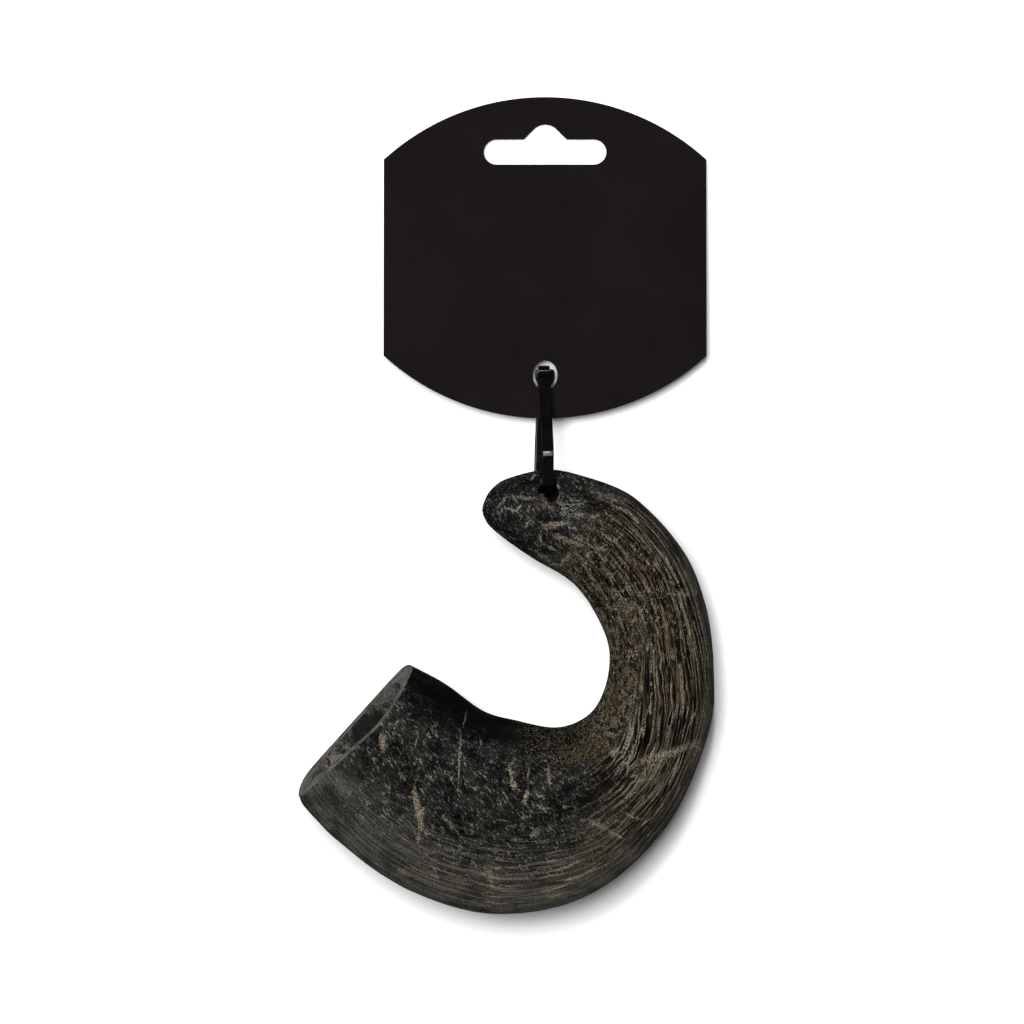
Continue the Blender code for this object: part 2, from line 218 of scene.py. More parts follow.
class HornForm:
    """The horn's outside and its hollow, read by distance from the base and place round the section."""

    def __init__(self):
        rows = np.array(HORN_STATIONS)
        turned = rows[-2][[2, 3, 0, 1, 5, 4]]
        self.rows = np.vstack([rows, turned])
        reach = (travelled(self.rows[:, 0:2]) + travelled(self.rows[:, 2:4])) / 2
        self.knots = reach - reach[BASE_STATION]
        self.start = self.knots[0]
        self.length = self.knots[-2]

    def section(self, along, place):
        """Across and up round the outside's section, which changes from the base to the tip."""
        share = np.clip(along / self.length, 0.0, 1.0)[..., None]
        at_base = closed_curve(SECTION_AT_BASE, place)
        at_tip = closed_curve(SECTION_AT_TIP, place)
        return at_base * (1 - share) + at_tip * share

    def placed(self, along, spots, sides=0.0, crown=0.0, floor=0.0):
        """The points this far across and up the section, which walls of these thicknesses narrow."""
        row = smooth_through(self.knots, self.rows, along)
        outer, inner = row[..., 0:2], row[..., 2:4]
        low = np.maximum(row[..., 4], 0.0) + floor
        top = row[..., 5] - crown
        half = (outer - inner) / 2
        width = np.linalg.norm(half, axis=-1)
        kept = np.maximum(1 - sides / np.maximum(width, 1e-6), 0.0)
        spot = (outer + inner) / 2 + half * (kept * spots[..., 0])[..., None]
        height = low + (top - low) * np.clip(spots[..., 1], 0.0, 1.0)
        return np.concatenate([spot, height[..., None]], axis=-1)

    def outside(self, along, place):
        return self.placed(along, self.section(along, place))

    def middle(self, along):
        crown = self.outside(along, np.full_like(along, CROWN_POINT / len(SECTION_AT_BASE)))
        floor = self.outside(along, np.full_like(along, FLOOR_POINT / len(SECTION_AT_BASE)))
        return (crown + floor) / 2

    def hollow(self, along, place):
        """The wall of the hollow, which narrows to a rounded end."""
        share = np.clip(along / HOLLOW_LENGTH, 0.0, 1.0)
        room = np.sqrt(1 - share**HOLLOW_END_POWER)[..., None]
        centre = self.middle(along)
        spots = closed_curve(SECTION_OF_HOLLOW, place)
        wall = self.placed(along, spots, WALL_AT_SIDES, WALL_AT_CROWN, WALL_AT_FLOOR)
        return centre + (wall - centre) * room

    def at_cut(self, surface, place, depth):
        """How far along each place's line lies at this depth behind the saw cut."""
        near = np.full_like(place, self.start)
        far = np.full_like(place, CUT_SEARCH_END)
        for _ in range(CUT_SEARCH_STEPS):
            middle = (near + far) / 2
            outside = (surface(middle, place) - SAW_MIDDLE) @ SAW_FACING > -depth
            near = np.where(outside, middle, near)
            far = np.where(outside, far, middle)
        return (near + far) / 2


def column_places():
    crown = np.linspace(0.0, 0.5, CROWN_COLUMNS, endpoint=False)
    underside = np.linspace(0.5, 1.0, UNDERSIDE_COLUMNS, endpoint=False)
    return np.concatenate([crown, underside])


def bend_through(start, corner, end, rings):
    """Rings that round the corner from one edge to another, neither edge among them."""
    shares = np.linspace(0, 1, rings + 2)[1:-1]
    return [start * (1 - t) ** 2 + corner * 2 * t * (1 - t) + end * t * t for t in shares]


class HornGrid:
    """Rings of points from the end of the hollow, out round the rim, and on to the tip."""

    HOLLOW, RIM, SKIN = 0, 1, 2

    def __init__(self, form):
        self.form = form
        self.place = column_places()
        self.points, self.along, self.region = [], [], []
        self.add_hollow()
        self.add_rim()
        self.add_skin()
        self.points = np.array(self.points)
        self.along = np.array(self.along)
        self.region = np.array(self.region)

    def add(self, points, along, region):
        self.points.append(points)
        self.along.append(along)
        self.region.append(region)

    def add_hollow(self):
        start = self.form.at_cut(self.form.hollow, self.place, LIP)
        for share in np.linspace(1, 0, HOLLOW_RINGS + 1)[1:]:
            along = start + (HOLLOW_LENGTH - start) * sin(share * pi / 2)
            self.add(self.form.hollow(along, self.place), along, self.HOLLOW)

    def add_rim(self):
        form, place = self.form, self.place
        inner_along = form.at_cut(form.hollow, place, 0.0)
        outer_along = form.at_cut(form.outside, place, 0.0)
        inner, outer = form.hollow(inner_along, place), form.outside(outer_along, place)
        across = outer - inner
        across /= np.linalg.norm(across, axis=1)[:, None]
        flat_inner, flat_outer = inner + across * LIP, outer - across * LIP
        behind = form.outside(form.at_cut(form.outside, place, LIP), place)
        rows = bend_through(self.points[-1], inner, flat_inner, LIP_RINGS)
        rows += [flat_inner + (flat_outer - flat_inner) * t for t in np.linspace(0, 1, RIM_RINGS + 2)]
        rows += bend_through(flat_outer, outer, behind, LIP_RINGS)
        for row in rows:
            self.add(row, outer_along, self.RIM)

    def add_skin(self):
        start = self.form.at_cut(self.form.outside, self.place, LIP)
        turn = self.form.length - TIP_REACH
        for share in np.linspace(0, 1, BODY_RINGS, endpoint=False):
            along = start + (turn - start) * share
            self.add(self.form.outside(along, self.place), along, self.SKIN)
        for share in np.linspace(0, 1, TIP_RINGS, endpoint=False):
            along = np.full_like(self.place, turn + TIP_REACH * share)
            self.add(self.form.outside(along, self.place), along, self.SKIN)


def world_points(points):
    return (np.asarray(points) + np.array(DRAWING_AT)) * MM


@contextmanager
def reshaped(mesh):
    """The mesh opened for changes, which are written back to it at the end."""
    shaped = bmesh.new()
    shaped.from_mesh(mesh)
    yield shaped
    shaped.to_mesh(mesh)
    shaped.free()


def ring_mesh(name, rings, first=None, last=None):
    """A closed mesh through rings of points, ended by a point or a flat face at either end."""
    rings = np.asarray(rings)
    count, sides = rings.shape[:2]
    corner = np.arange(count * sides).reshape(count, sides)
    beside = np.roll(corner, -1, axis=1)
    quads = np.stack([corner[:-1], beside[:-1], beside[1:], corner[1:]], axis=-1).reshape(-1, 4)
    faces = quads.tolist()
    vertices = [rings.reshape(-1, 3)]
    poles = count * sides
    for ring, point in ((0, first), (count - 1, last)):
        if point is None:
            faces.append(corner[ring].tolist())
            continue
        vertices.append(np.asarray(point)[None])
        faces += [[int(a), int(b), poles] for a, b in zip(corner[ring], beside[ring])]
        poles += 1
    mesh = bpy.data.meshes.new(name)
    mesh.from_pydata(world_points(np.concatenate(vertices)).tolist(), [], faces)
    with reshaped(mesh) as shaped:
        bmesh.ops.recalc_face_normals(shaped, faces=shaped.faces)
    return mesh


def new_object(name, mesh):
    made = bpy.data.objects.new(name, mesh)
    bpy.context.scene.collection.objects.link(made)
    return made


def worked_out(made):
    """A new mesh of an object as its modifiers or its curve shape it."""
    bpy.context.view_layer.update()
    seen = made.evaluated_get(bpy.context.evaluated_depsgraph_get())
    return bpy.data.meshes.new_from_object(seen)


def combine(target, tool, operation):
    change = target.modifiers.new(tool.name, "BOOLEAN")
    change.operation = operation
    change.object = tool
    change.solver = "EXACT"
    mesh = worked_out(target)
    target.modifiers.clear()
    target.data = mesh
    bpy.data.objects.remove(tool)


def add_to_body(made, node):
    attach(made, "root")
    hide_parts(node)


# Marks that stand out on the crown, by kind. Each is where it starts, where it ends, half its width and
# its strength. A place is how far along the horn, and the share of the way from the outer edge of the
# bend to the inner one, seen from above.
MARKS = {
    "dark": [
        # The first three dark marks, along the inner edge near the base, are painted shade where the
        # surface turns steeply away.
        (4, 0.93, 46, 0.95, 4.4, 1), (5, 0.86, 22, 0.87, 3.4, 0.9), (26, 0.9, 50, 0.92, 2.6, 0.7),
        (64, 0.57, 80, 0.6, 3.8, 0.85), (60, 0.62, 72, 0.66, 2.4, 0.75),
        (109, 0.86, 124, 0.82, 1.2, 0.5), (117, 0.73, 119.5, 0.7, 0.9, 0.7),
        (115, 0.34, 117.5, 0.35, 0.7, 0.8), (128.4, 0.14, 128.8, 0.24, 1.1, 1),
        (127.8, 0.6, 131.5, 0.62, 0.8, 0.6), (130, 0.92, 136, 0.94, 1.2, 0.5),
        (151, 0.18, 156, 0.3, 1.8, 0.9), (165, 0.06, 179, 0.12, 2.6, 0.7),
        (154, 0.16, 162, 0.2, 1.4, 0.7), (144, 0.3, 152, 0.34, 1.2, 0.6),
        (136, 0.78, 146, 0.74, 2, 0.6),
    ],
    "brown": [
        (98, 0.28, 111, 0.33, 1.6, 0.6), (102, 0.45, 118, 0.54, 1.5, 0.6),
        (112, 0.4, 122, 0.45, 1.8, 0.7), (126, 0.44, 145, 0.4, 2.4, 0.5),
        (140, 0.57, 148, 0.56, 1.4, 0.6), (62, 0.84, 80, 0.78, 3.2, 0.5),
        (90, 0.88, 108, 0.82, 2.6, 0.5), (117, 0.72, 124, 0.64, 1.6, 0.7),
        (162.6, 0.42, 170, 0.4, 1.3, 0.8), (170, 0.4, 175.5, 0.37, 1.1, 0.8),
    ],
    "band": [
        (85, 0.48, 95.6, 0.09, 1, 1), (83.5, 0.46, 91.5, 0.22, 0.45, 0.7),
    ],
    "worn": [
        (155.5, 0.4, 162, 0.42, 1.8, 1), (158, 0.24, 162, 0.38, 2, 0.9),
        (148.5, 0.06, 158, 0.12, 1, 0.7),
    ],
    "tan": [
        (6.2, 0.6, 8.8, 0.54, 1, 0.8), (20.4, 0.5, 22.6, 0.44, 0.55, 0.9),
        (22.2, 0.45, 24, 0.41, 0.9, 0.9), (24.6, 0.36, 25.6, 0.42, 0.9, 1),
        (23.6, 0.41, 26.2, 0.36, 1.2, 0.9), (26, 0.37, 27.2, 0.31, 0.7, 0.9),
        (26.8, 0.3, 27.9, 0.24, 0.45, 0.8), (45.5, 0.79, 47.2, 0.68, 0.35, 0.9),
        (46.9, 0.7, 48.2, 0.67, 0.8, 0.9), (50.8, 0.6, 51.3, 0.66, 0.7, 1),
        (54.3, 0.64, 55.8, 0.635, 0.6, 0.9), (54.6, 0.575, 58, 0.565, 0.45, 0.8),
        (51.7, 0.72, 51.9, 0.79, 0.3, 0.7), (52, 0.7, 53.6, 0.71, 0.4, 0.6),
        (58.2, 0.7, 58.6, 0.8, 0.55, 0.7), (52.6, 0.42, 54.2, 0.45, 1, 0.6),
        (61, 0.565, 62.6, 0.56, 0.5, 0.7), (44.4, 0.14, 43.4, 0.25, 0.8, 0.4),
        (67, 0.43, 70.5, 0.31, 0.7, 0.7), (70.5, 0.31, 73, 0.18, 0.45, 0.7),
        (75.6, 0.31, 78.2, 0.18, 0.4, 0.8), (80.2, 0.44, 84, 0.36, 0.5, 0.6),
        (80.6, 0.5, 83.8, 0.56, 0.4, 0.8), (80.8, 0.68, 83.4, 0.675, 0.8, 0.8),
        (95.3, 0.1, 95, 0.01, 0.35, 0.7), (80.5, 0.44, 85.5, 0.3, 0.3, 0.6),
        (82, 0.46, 90, 0.24, 0.3, 0.6), (85.5, 0.5, 90.6, 0.36, 0.35, 0.6),
        (72, 0.36, 75, 0.24, 0.25, 0.6), (82, 0.56, 89, 0.58, 0.24, 0.8),
        (126.2, 0.13, 127.6, 0.27, 0.5, 0.8), (146.6, 0.8, 148.9, 0.65, 0.4, 0.8),
        (145.4, 0.56, 148.6, 0.61, 0.7, 0.6), (152.6, 0.32, 153.2, 0.37, 0.6, 0.7),
        (157.5, 0.5, 163, 0.66, 0.9, 0.7), (151, 0.66, 160, 0.69, 0.7, 0.6),
        (151.4, 0.62, 156, 0.6, 0.6, 0.5), (163.2, 0.44, 167, 0.39, 0.35, 0.6),
        (168, 0.38, 173.6, 0.4, 0.35, 0.6), (152.4, 0.76, 152.9, 0.92, 0.5, 0.6),
        (156, 0.94, 160, 0.93, 0.8, 0.5),
    ],
    "pale": [
        (25.2, 0.86, 31.3, 0.62, 0.28, 0.9), (23.8, 0.96, 25.2, 0.88, 0.25, 0.5),
        (14, 0.72, 15.4, 0.65, 0.25, 0.8), (16.2, 0.745, 17.4, 0.74, 0.5, 0.8),
        (34.8, 0.635, 36.8, 0.63, 0.35, 0.6), (33.4, 0.87, 33.8, 0.85, 0.4, 0.6),
        (44, 0.5, 46.4, 0.5, 0.3, 0.6), (89, 0.58, 97, 0.6, 0.16, 0.5),
        (84, 0.675, 96, 0.7, 0.16, 0.6), (95, 0.7, 107, 0.74, 0.14, 0.5),
        (162.8, 0.35, 165.2, 0.14, 0.45, 0.7), (171, 0.5, 172, 0.6, 0.35, 0.8),
        (172, 0.6, 174.4, 0.57, 0.35, 0.7), (176, 0.36, 178, 0.6, 0.3, 0.7),
        (172.4, 0.48, 174.6, 0.35, 0.3, 0.6), (167.2, 0.65, 166.9, 0.76, 0.35, 0.8),
        (160.2, 0.82, 163, 0.75, 0.35, 0.7), (156, 0.81, 159, 0.81, 0.35, 0.6),
        (152.6, 0.9, 156, 0.99, 0.35, 0.6), (171.2, 0.06, 171.8, 0.14, 0.4, 0.7),
    ],
}

# A mark is full up to the first share of its half size and gone at the second. It reaches past its ends
# by a share of its half width.
MARK_FULL = 0.5
MARK_GONE = 1.2
MARK_PAST_END = 0.6
MARK_RAGGED, MARK_RAGGED_FINENESS = 0.45, 0.7
CROWN_SAMPLES = 200


def crown_point(form, along, share):
    """Where the crown is, this far along and this share of the way to its inner edge."""
    places = np.linspace(0.0, 0.5, CROWN_SAMPLES)
    line = form.outside(np.full_like(places, along), places)
    reach = travelled(line[:, :2])
    place = np.interp(share * reach[-1], reach, places)
    return form.outside(np.array([float(along)]), np.array([place]))[0, :2]


def mark_shapes(kind):
    """Each mark of a kind as an ellipse: its centre, half length, half width, turn and strength."""
    form = HornForm()
    shapes = []
    for along, share, end_along, end_share, half_width, strength in MARKS[kind]:
        start, end = crown_point(form, along, share), crown_point(form, end_along, end_share)
        line = end - start
        half_length = np.linalg.norm(line) / 2 + half_width * MARK_PAST_END
        shapes.append(((start + end) / 2, half_length, half_width, atan2(line[1], line[0]), strength))
    return shapes


def mark_depth(points, kind, noise):
    """How strongly marks of one kind lie at each point of the crown, with uneven edges."""
    ragged = 1 + MARK_RAGGED * noise.layered(points * MARK_RAGGED_FINENESS, 2)
    total = np.zeros(points.shape[:-1])
    for centre, half_length, half_width, turn, strength in mark_shapes(kind):
        away_x, away_y = points[..., 0] - centre[0], points[..., 1] - centre[1]
        length_share = (away_x * cos(turn) + away_y * sin(turn)) / half_length
        width_share = (away_y * cos(turn) - away_x * sin(turn)) / half_width
        far = np.sqrt(length_share**2 + width_share**2) * ragged
        total = np.maximum(total, strength * fading(far, MARK_FULL, MARK_GONE))
    return total


# Levels that the skin's mesh holds, from the kind of surface and from the marks with soft edges.
FIELDS = ("haze_and_sheen", "lined", "torn", "fine", "smoke", "hatch", "speckle", "warm")
MARK_FIELDS = ("dark", "brown", "band", "worn")

# Where each kind of surface starts, is full, still holds and has ended: along the horn in millimetres,
# and across it as a share of the way from its outer edge to its inner one.
# The haze near the outer edge of the bend is partly the horn's cloudy grey and partly a painted sheen of
# grazing light.
HAZE_AND_SHEEN_ENDS = (60, 96)
EDGE_HAZE_AND_SHEEN_ENDS, EDGE_HAZE_AND_SHEEN_ACROSS = (130, 150), (0.10, 0.20)
LINED_ALONG = (60, 86, 146, 158)
TORN_STARTS, TORN_ACROSS = (108, 126), (0.10, 0.35)
FINE_ALONG, FINE_ACROSS = (4, 48, 88, 100), (0.02, 0.10, 0.30, 0.50)
SMOKE_ENDS, SMOKE_ACROSS = (66, 84), (0.08, 0.26, 0.80, 0.94)
TIP_SMOKE_STARTS = (146, 156)
HATCH_ALONG, HATCH_ACROSS = (44, 54, 78, 90), (0.72, 0.80)
SPECKLE_ALONG, SPECKLE_ACROSS = (72, 84, 116, 130), (0.70, 0.78)
FAR_SPECKLE_ALONG, FAR_SPECKLE_ACROSS = (112, 124, 146, 156), (0.55, 0.72)
WARM_ALONG, WARM_ACROSS = (90, 106, 142, 156), (0.14, 0.30, 0.56, 0.72)
# Patches sway these places, by so much along and so much across.
PATCH_SIZE, PATCH_SWAY = 9.0, (5, 0.06)
SMALL_PATCH_SIZE, SMALL_PATCH_SWAY = 3.0, (1.5, 0.03)


def horn_fields(along, share, points):
    """Where each kind of surface shows, along the horn and across it from its outer edge."""
    noise = SmoothNoise(FIELD_SEED)
    patch = noise.layered(points / PATCH_SIZE)
    small_patch = noise.layered(points / SMALL_PATCH_SIZE + 20.0)
    u = along + PATCH_SWAY[0] * patch + SMALL_PATCH_SWAY[0] * small_patch
    v = share + PATCH_SWAY[1] * patch + SMALL_PATCH_SWAY[1] * small_patch

    # Haze with painted sheen, lighter towards the outer edge of the bend.
    hazy_until = 0.06 + 0.14 * fading(u, 14, 34)
    haze_and_sheen = fading(v, hazy_until, 0.42) * fading(u, *HAZE_AND_SHEEN_ENDS)
    haze_and_sheen *= 1.0 + 0.25 * smoothstep(30, 56, u)
    edge = fading(v, *EDGE_HAZE_AND_SHEEN_ACROSS) * fading(u, *EDGE_HAZE_AND_SHEEN_ENDS)
    haze_and_sheen = np.maximum(haze_and_sheen, edge * (0.9 - 0.25 * smoothstep(100, 120, u)))
    lined = window(u, *LINED_ALONG) * (0.25 + 0.75 * smoothstep(0.0, 0.14, v))
    lined *= 1 - smoothstep(0.66, 0.76, v) * fading(u, 112, 128)
    torn = smoothstep(*TORN_STARTS, u) * smoothstep(*TORN_ACROSS, v)
    fine = window(u, *FINE_ALONG) * window(v, *FINE_ACROSS)
    smoke = window(v, *SMOKE_ACROSS) * fading(u, *SMOKE_ENDS)
    smoke = np.maximum(smoke, smoothstep(*TIP_SMOKE_STARTS, u))
    smoke = np.maximum(smoke, 0.5 * smoothstep(0.15, 0.6, small_patch) * lined)
    hatch = window(u, *HATCH_ALONG) * smoothstep(*HATCH_ACROSS, v)
    speckle = window(u, *SPECKLE_ALONG) * smoothstep(*SPECKLE_ACROSS, v)
    far_speckle = 0.6 * window(u, *FAR_SPECKLE_ALONG) * smoothstep(*FAR_SPECKLE_ACROSS, v)
    speckle = np.maximum(speckle, far_speckle)
    warm = np.maximum(window(u, *WARM_ALONG) * window(v, *WARM_ACROSS), 0.8 * speckle)
    return dict(zip(FIELDS, (haze_and_sheen, lined, torn, fine, smoke, hatch, speckle, warm)))


# Past a slanting growth ring the grain bears away towards the inner edge.
GRAIN_RADIUS = 14.0
GRAIN_DRIFT = 0.3
GROWTH_RING_AT = 97.0
GROWTH_RING_SLANT = 26.0
GROWTH_RING_WIDTH = 30.0


def grain_place(along, share, points):
    """Where a point lies along the grain and round it, with no seam."""
    steps = np.linalg.norm(np.roll(points, -1, axis=1) - points, axis=2)
    reach = np.cumsum(steps, axis=1)
    angle = 2 * pi * (reach - steps) / reach[:, -1:]
    past_ring = along + GROWTH_RING_SLANT * share - GROWTH_RING_AT
    angle -= GRAIN_DRIFT * smoothstep(0, GROWTH_RING_WIDTH, past_ring)
    round_x, round_y = GRAIN_RADIUS * np.cos(angle), GRAIN_RADIUS * np.sin(angle)
    return np.stack([along, round_x, round_y], axis=-1)


# Relief of the skin: heights in millimetres, and how fine each form is along the grain and round it.
FLUTE_DEPTH, FLUTE_FINENESS = 0.14, (1 / 46, 1 / 4.2, 1 / 4.2)
LUMP_DEPTH, LUMP_SIZE = 0.16, 12.0
RIDGE_SWAY, RIDGE_SWAY_FINENESS = 0.45, (1 / 7, 1 / 5, 1 / 5)
RIDGE_FINENESS = (1 / 10, 1 / 0.56, 1 / 0.56)
LINED_RIDGE_HEIGHT = 0.10
FINE_RIDGE_HEIGHT = 0.05
DARK_DENT_DEPTH = 0.30
BAND_HEIGHT = 0.14
# The outer edge swells just behind the saw cut.
SWELL_HEIGHT = 0.6
SWELL_ALONG, SWELL_ACROSS = (-4.0, 0.0, 1.5, 9.0), (0.05, 0.30)
PLAIN_AT_RIM = 2.2
PLAIN_AT_TIP = 3.0


def horn_relief(grid, grain, share, fields):
    """How deep each point of the skin lies below the plain form, in millimetres, and its ridges."""
    flutes, lumps, ridges = map(SmoothNoise, RELIEF_SEEDS)
    depth = FLUTE_DEPTH * flutes.layered(grain * FLUTE_FINENESS, 2)
    depth += LUMP_DEPTH * lumps.layered(grid.points / LUMP_SIZE, 2)
    wavy = grain.copy()
    wavy[..., 1:] += RIDGE_SWAY * lumps(grain * RIDGE_SWAY_FINENESS)[..., None]
    ridge = ridges(wavy * RIDGE_FINENESS)
    depth -= LINED_RIDGE_HEIGHT * fields["lined"] * ridge
    depth -= FINE_RIDGE_HEIGHT * fields["fine"] * ridge
    depth += DARK_DENT_DEPTH * fields["dark"] - BAND_HEIGHT * fields["band"]
    depth -= SWELL_HEIGHT * window(grid.along, *SWELL_ALONG) * fading(share, *SWELL_ACROSS)
    length = grid.along[-1].max()
    past_rim = grid.along - grid.form.at_cut(grid.form.outside, grid.place, 0.0)
    near_tip = fading(grid.along, length - PLAIN_AT_TIP, length)
    return depth * smoothstep(0.0, PLAIN_AT_RIM, past_rim) * near_tip, ridge


def keep_in_box(places):
    """Moves points just inside the box of the solids."""
    low, high = np.array(SOLIDS_BOX[0]) + BOX_MARGIN, np.array(SOLIDS_BOX[1]) - BOX_MARGIN
    return np.clip(places, low, high)


def store(mesh, name, values):
    """Keeps a number or a vector for each vertex of the mesh."""
    values = np.asarray(values, np.float32)
    kind, key = ("FLOAT", "value") if values.ndim == 1 else ("FLOAT_VECTOR", "vector")
    mesh.attributes.new(name, kind, "POINT").data.foreach_set(key, values.ravel())


def vertex_vectors(mesh, key):
    vectors = np.empty(len(mesh.vertices) * 3, np.float32)
    mesh.vertices.foreach_get(key, vectors)
    return vectors.reshape(-1, 3)


def with_poles(values):
    """Values for a grid's points, and for the two poles that close it."""
    flat = values.reshape(-1, *values.shape[2:])
    return np.concatenate([flat, values[0][:1], values[-1][:1]])


# How much of a place counts as upper, round the section from the outer edge over the crown.
UPPER_PLACES = (0.0, 0.03, 0.47, 0.5)


def horn_mesh(materials):
    form = HornForm()
    grid = HornGrid(form)
    place = np.broadcast_to(grid.place, grid.along.shape)
    share = (1 - form.section(grid.along, place)[..., 0]) / 2
    upper = window(place, *UPPER_PLACES)
    grain = grain_place(grid.along, share, grid.points)
    fields = horn_fields(grid.along, share, grid.points)
    for kind in MARK_FIELDS:
        fields[kind] = upper * mark_depth(grid.points, kind, SmoothNoise(MARK_SEED))
    relief, ridge = horn_relief(grid, grain, share, fields)
    relief[grid.region != HornGrid.SKIN] = 0.0

    deep_end = form.middle(np.array([HOLLOW_LENGTH]))[0]
    tip = form.outside(np.array([form.length]), np.array([0.0]))[0]
    mesh = ring_mesh("horn_detail", grid.points, first=deep_end, last=tip)
    places = vertex_vectors(mesh, "co")
    places -= vertex_vectors(mesh, "normal") * with_poles(relief)[:, None] * MM
    mesh.vertices.foreach_set("co", keep_in_box(places).astype(np.float32).ravel())
    for name, values in {**fields, "upper": upper, "ridge": ridge, "grain": grain}.items():
        store(mesh, name, with_poles(values))

    for material in materials:
        mesh.materials.append(material)
    rows = np.repeat(grid.region[:-1], len(grid.place))
    poles = np.repeat([HornGrid.HOLLOW, HornGrid.SKIN], len(grid.place))
    mesh.polygons.foreach_set("material_index", np.concatenate([rows, poles]).astype(np.int32))
    mesh.shade_smooth()
    return mesh


DRILLED = 3


def drill(horn):
    """Cuts the hole through the tip and gives its wall the drilled material."""
    mesh = bpy.data.meshes.new("drill")
    radius = DRILL_DIAMETER / 2 * MM
    with reshaped(mesh) as shaped:
        size = {"radius1": radius, "radius2": radius, "depth": DRILL_LENGTH * MM}
        bmesh.ops.create_cone(shaped, cap_ends=True, segments=DRILL_SIDES, **size)
    cutter = new_object("drill", mesh)
    centre = (Vector(DRILL_AT) + DRAWING_AT) * MM
    axis = Vector(DRILL_FACING).normalized()
    cutter.location = centre
    cutter.rotation_mode = "QUATERNION"
    cutter.rotation_quaternion = axis.to_track_quat("Z", "Y")
    combine(horn, cutter, "DIFFERENCE")
    for face in horn.data.polygons:
        away = face.center - centre
        if (away - axis * away.dot(axis)).length < radius + DRILL_WALL_SLACK * MM:
            face.material_index = DRILLED


NOISE_MIDDLE = 0.5
# Curled strokes: how much of their width is full, and how the noise that breaks them up differs.
STROKE_FULL = 0.3
BREAKS_AWAY, BREAKS_FINER, BREAKS_FADE = (17.0, 5.0, 3.0), 1.4, 0.14
# Half the height of a patch that is meant to reach through the whole object, in millimetres.
TALL = 1000.0


class Level:
    """A number that changes over a surface, to be multiplied, added to or stepped."""

    def __init__(self, graph, socket):
        self.graph, self.socket = graph, socket

    def __add__(self, other):
        return self.graph.math("ADD", self, other)

    def __mul__(self, other):
        return self.graph.math("MULTIPLY", self, other)

    def most(self, other):
        return self.graph.math("MAXIMUM", self, other)

    def step(self, low, high, to_low=0.0, to_high=1.0):
        """Goes smoothly from one level to another as this one goes from low to high."""
        inputs = {"Value": self, "From Min": low, "From Max": high, "To Min": to_low, "To Max": to_high}
        settings = {"interpolation_type": "SMOOTHSTEP", "clamp": False}
        made = self.graph.node("MapRange", inputs, **settings)
        return Level(self.graph, made.outputs["Result"])


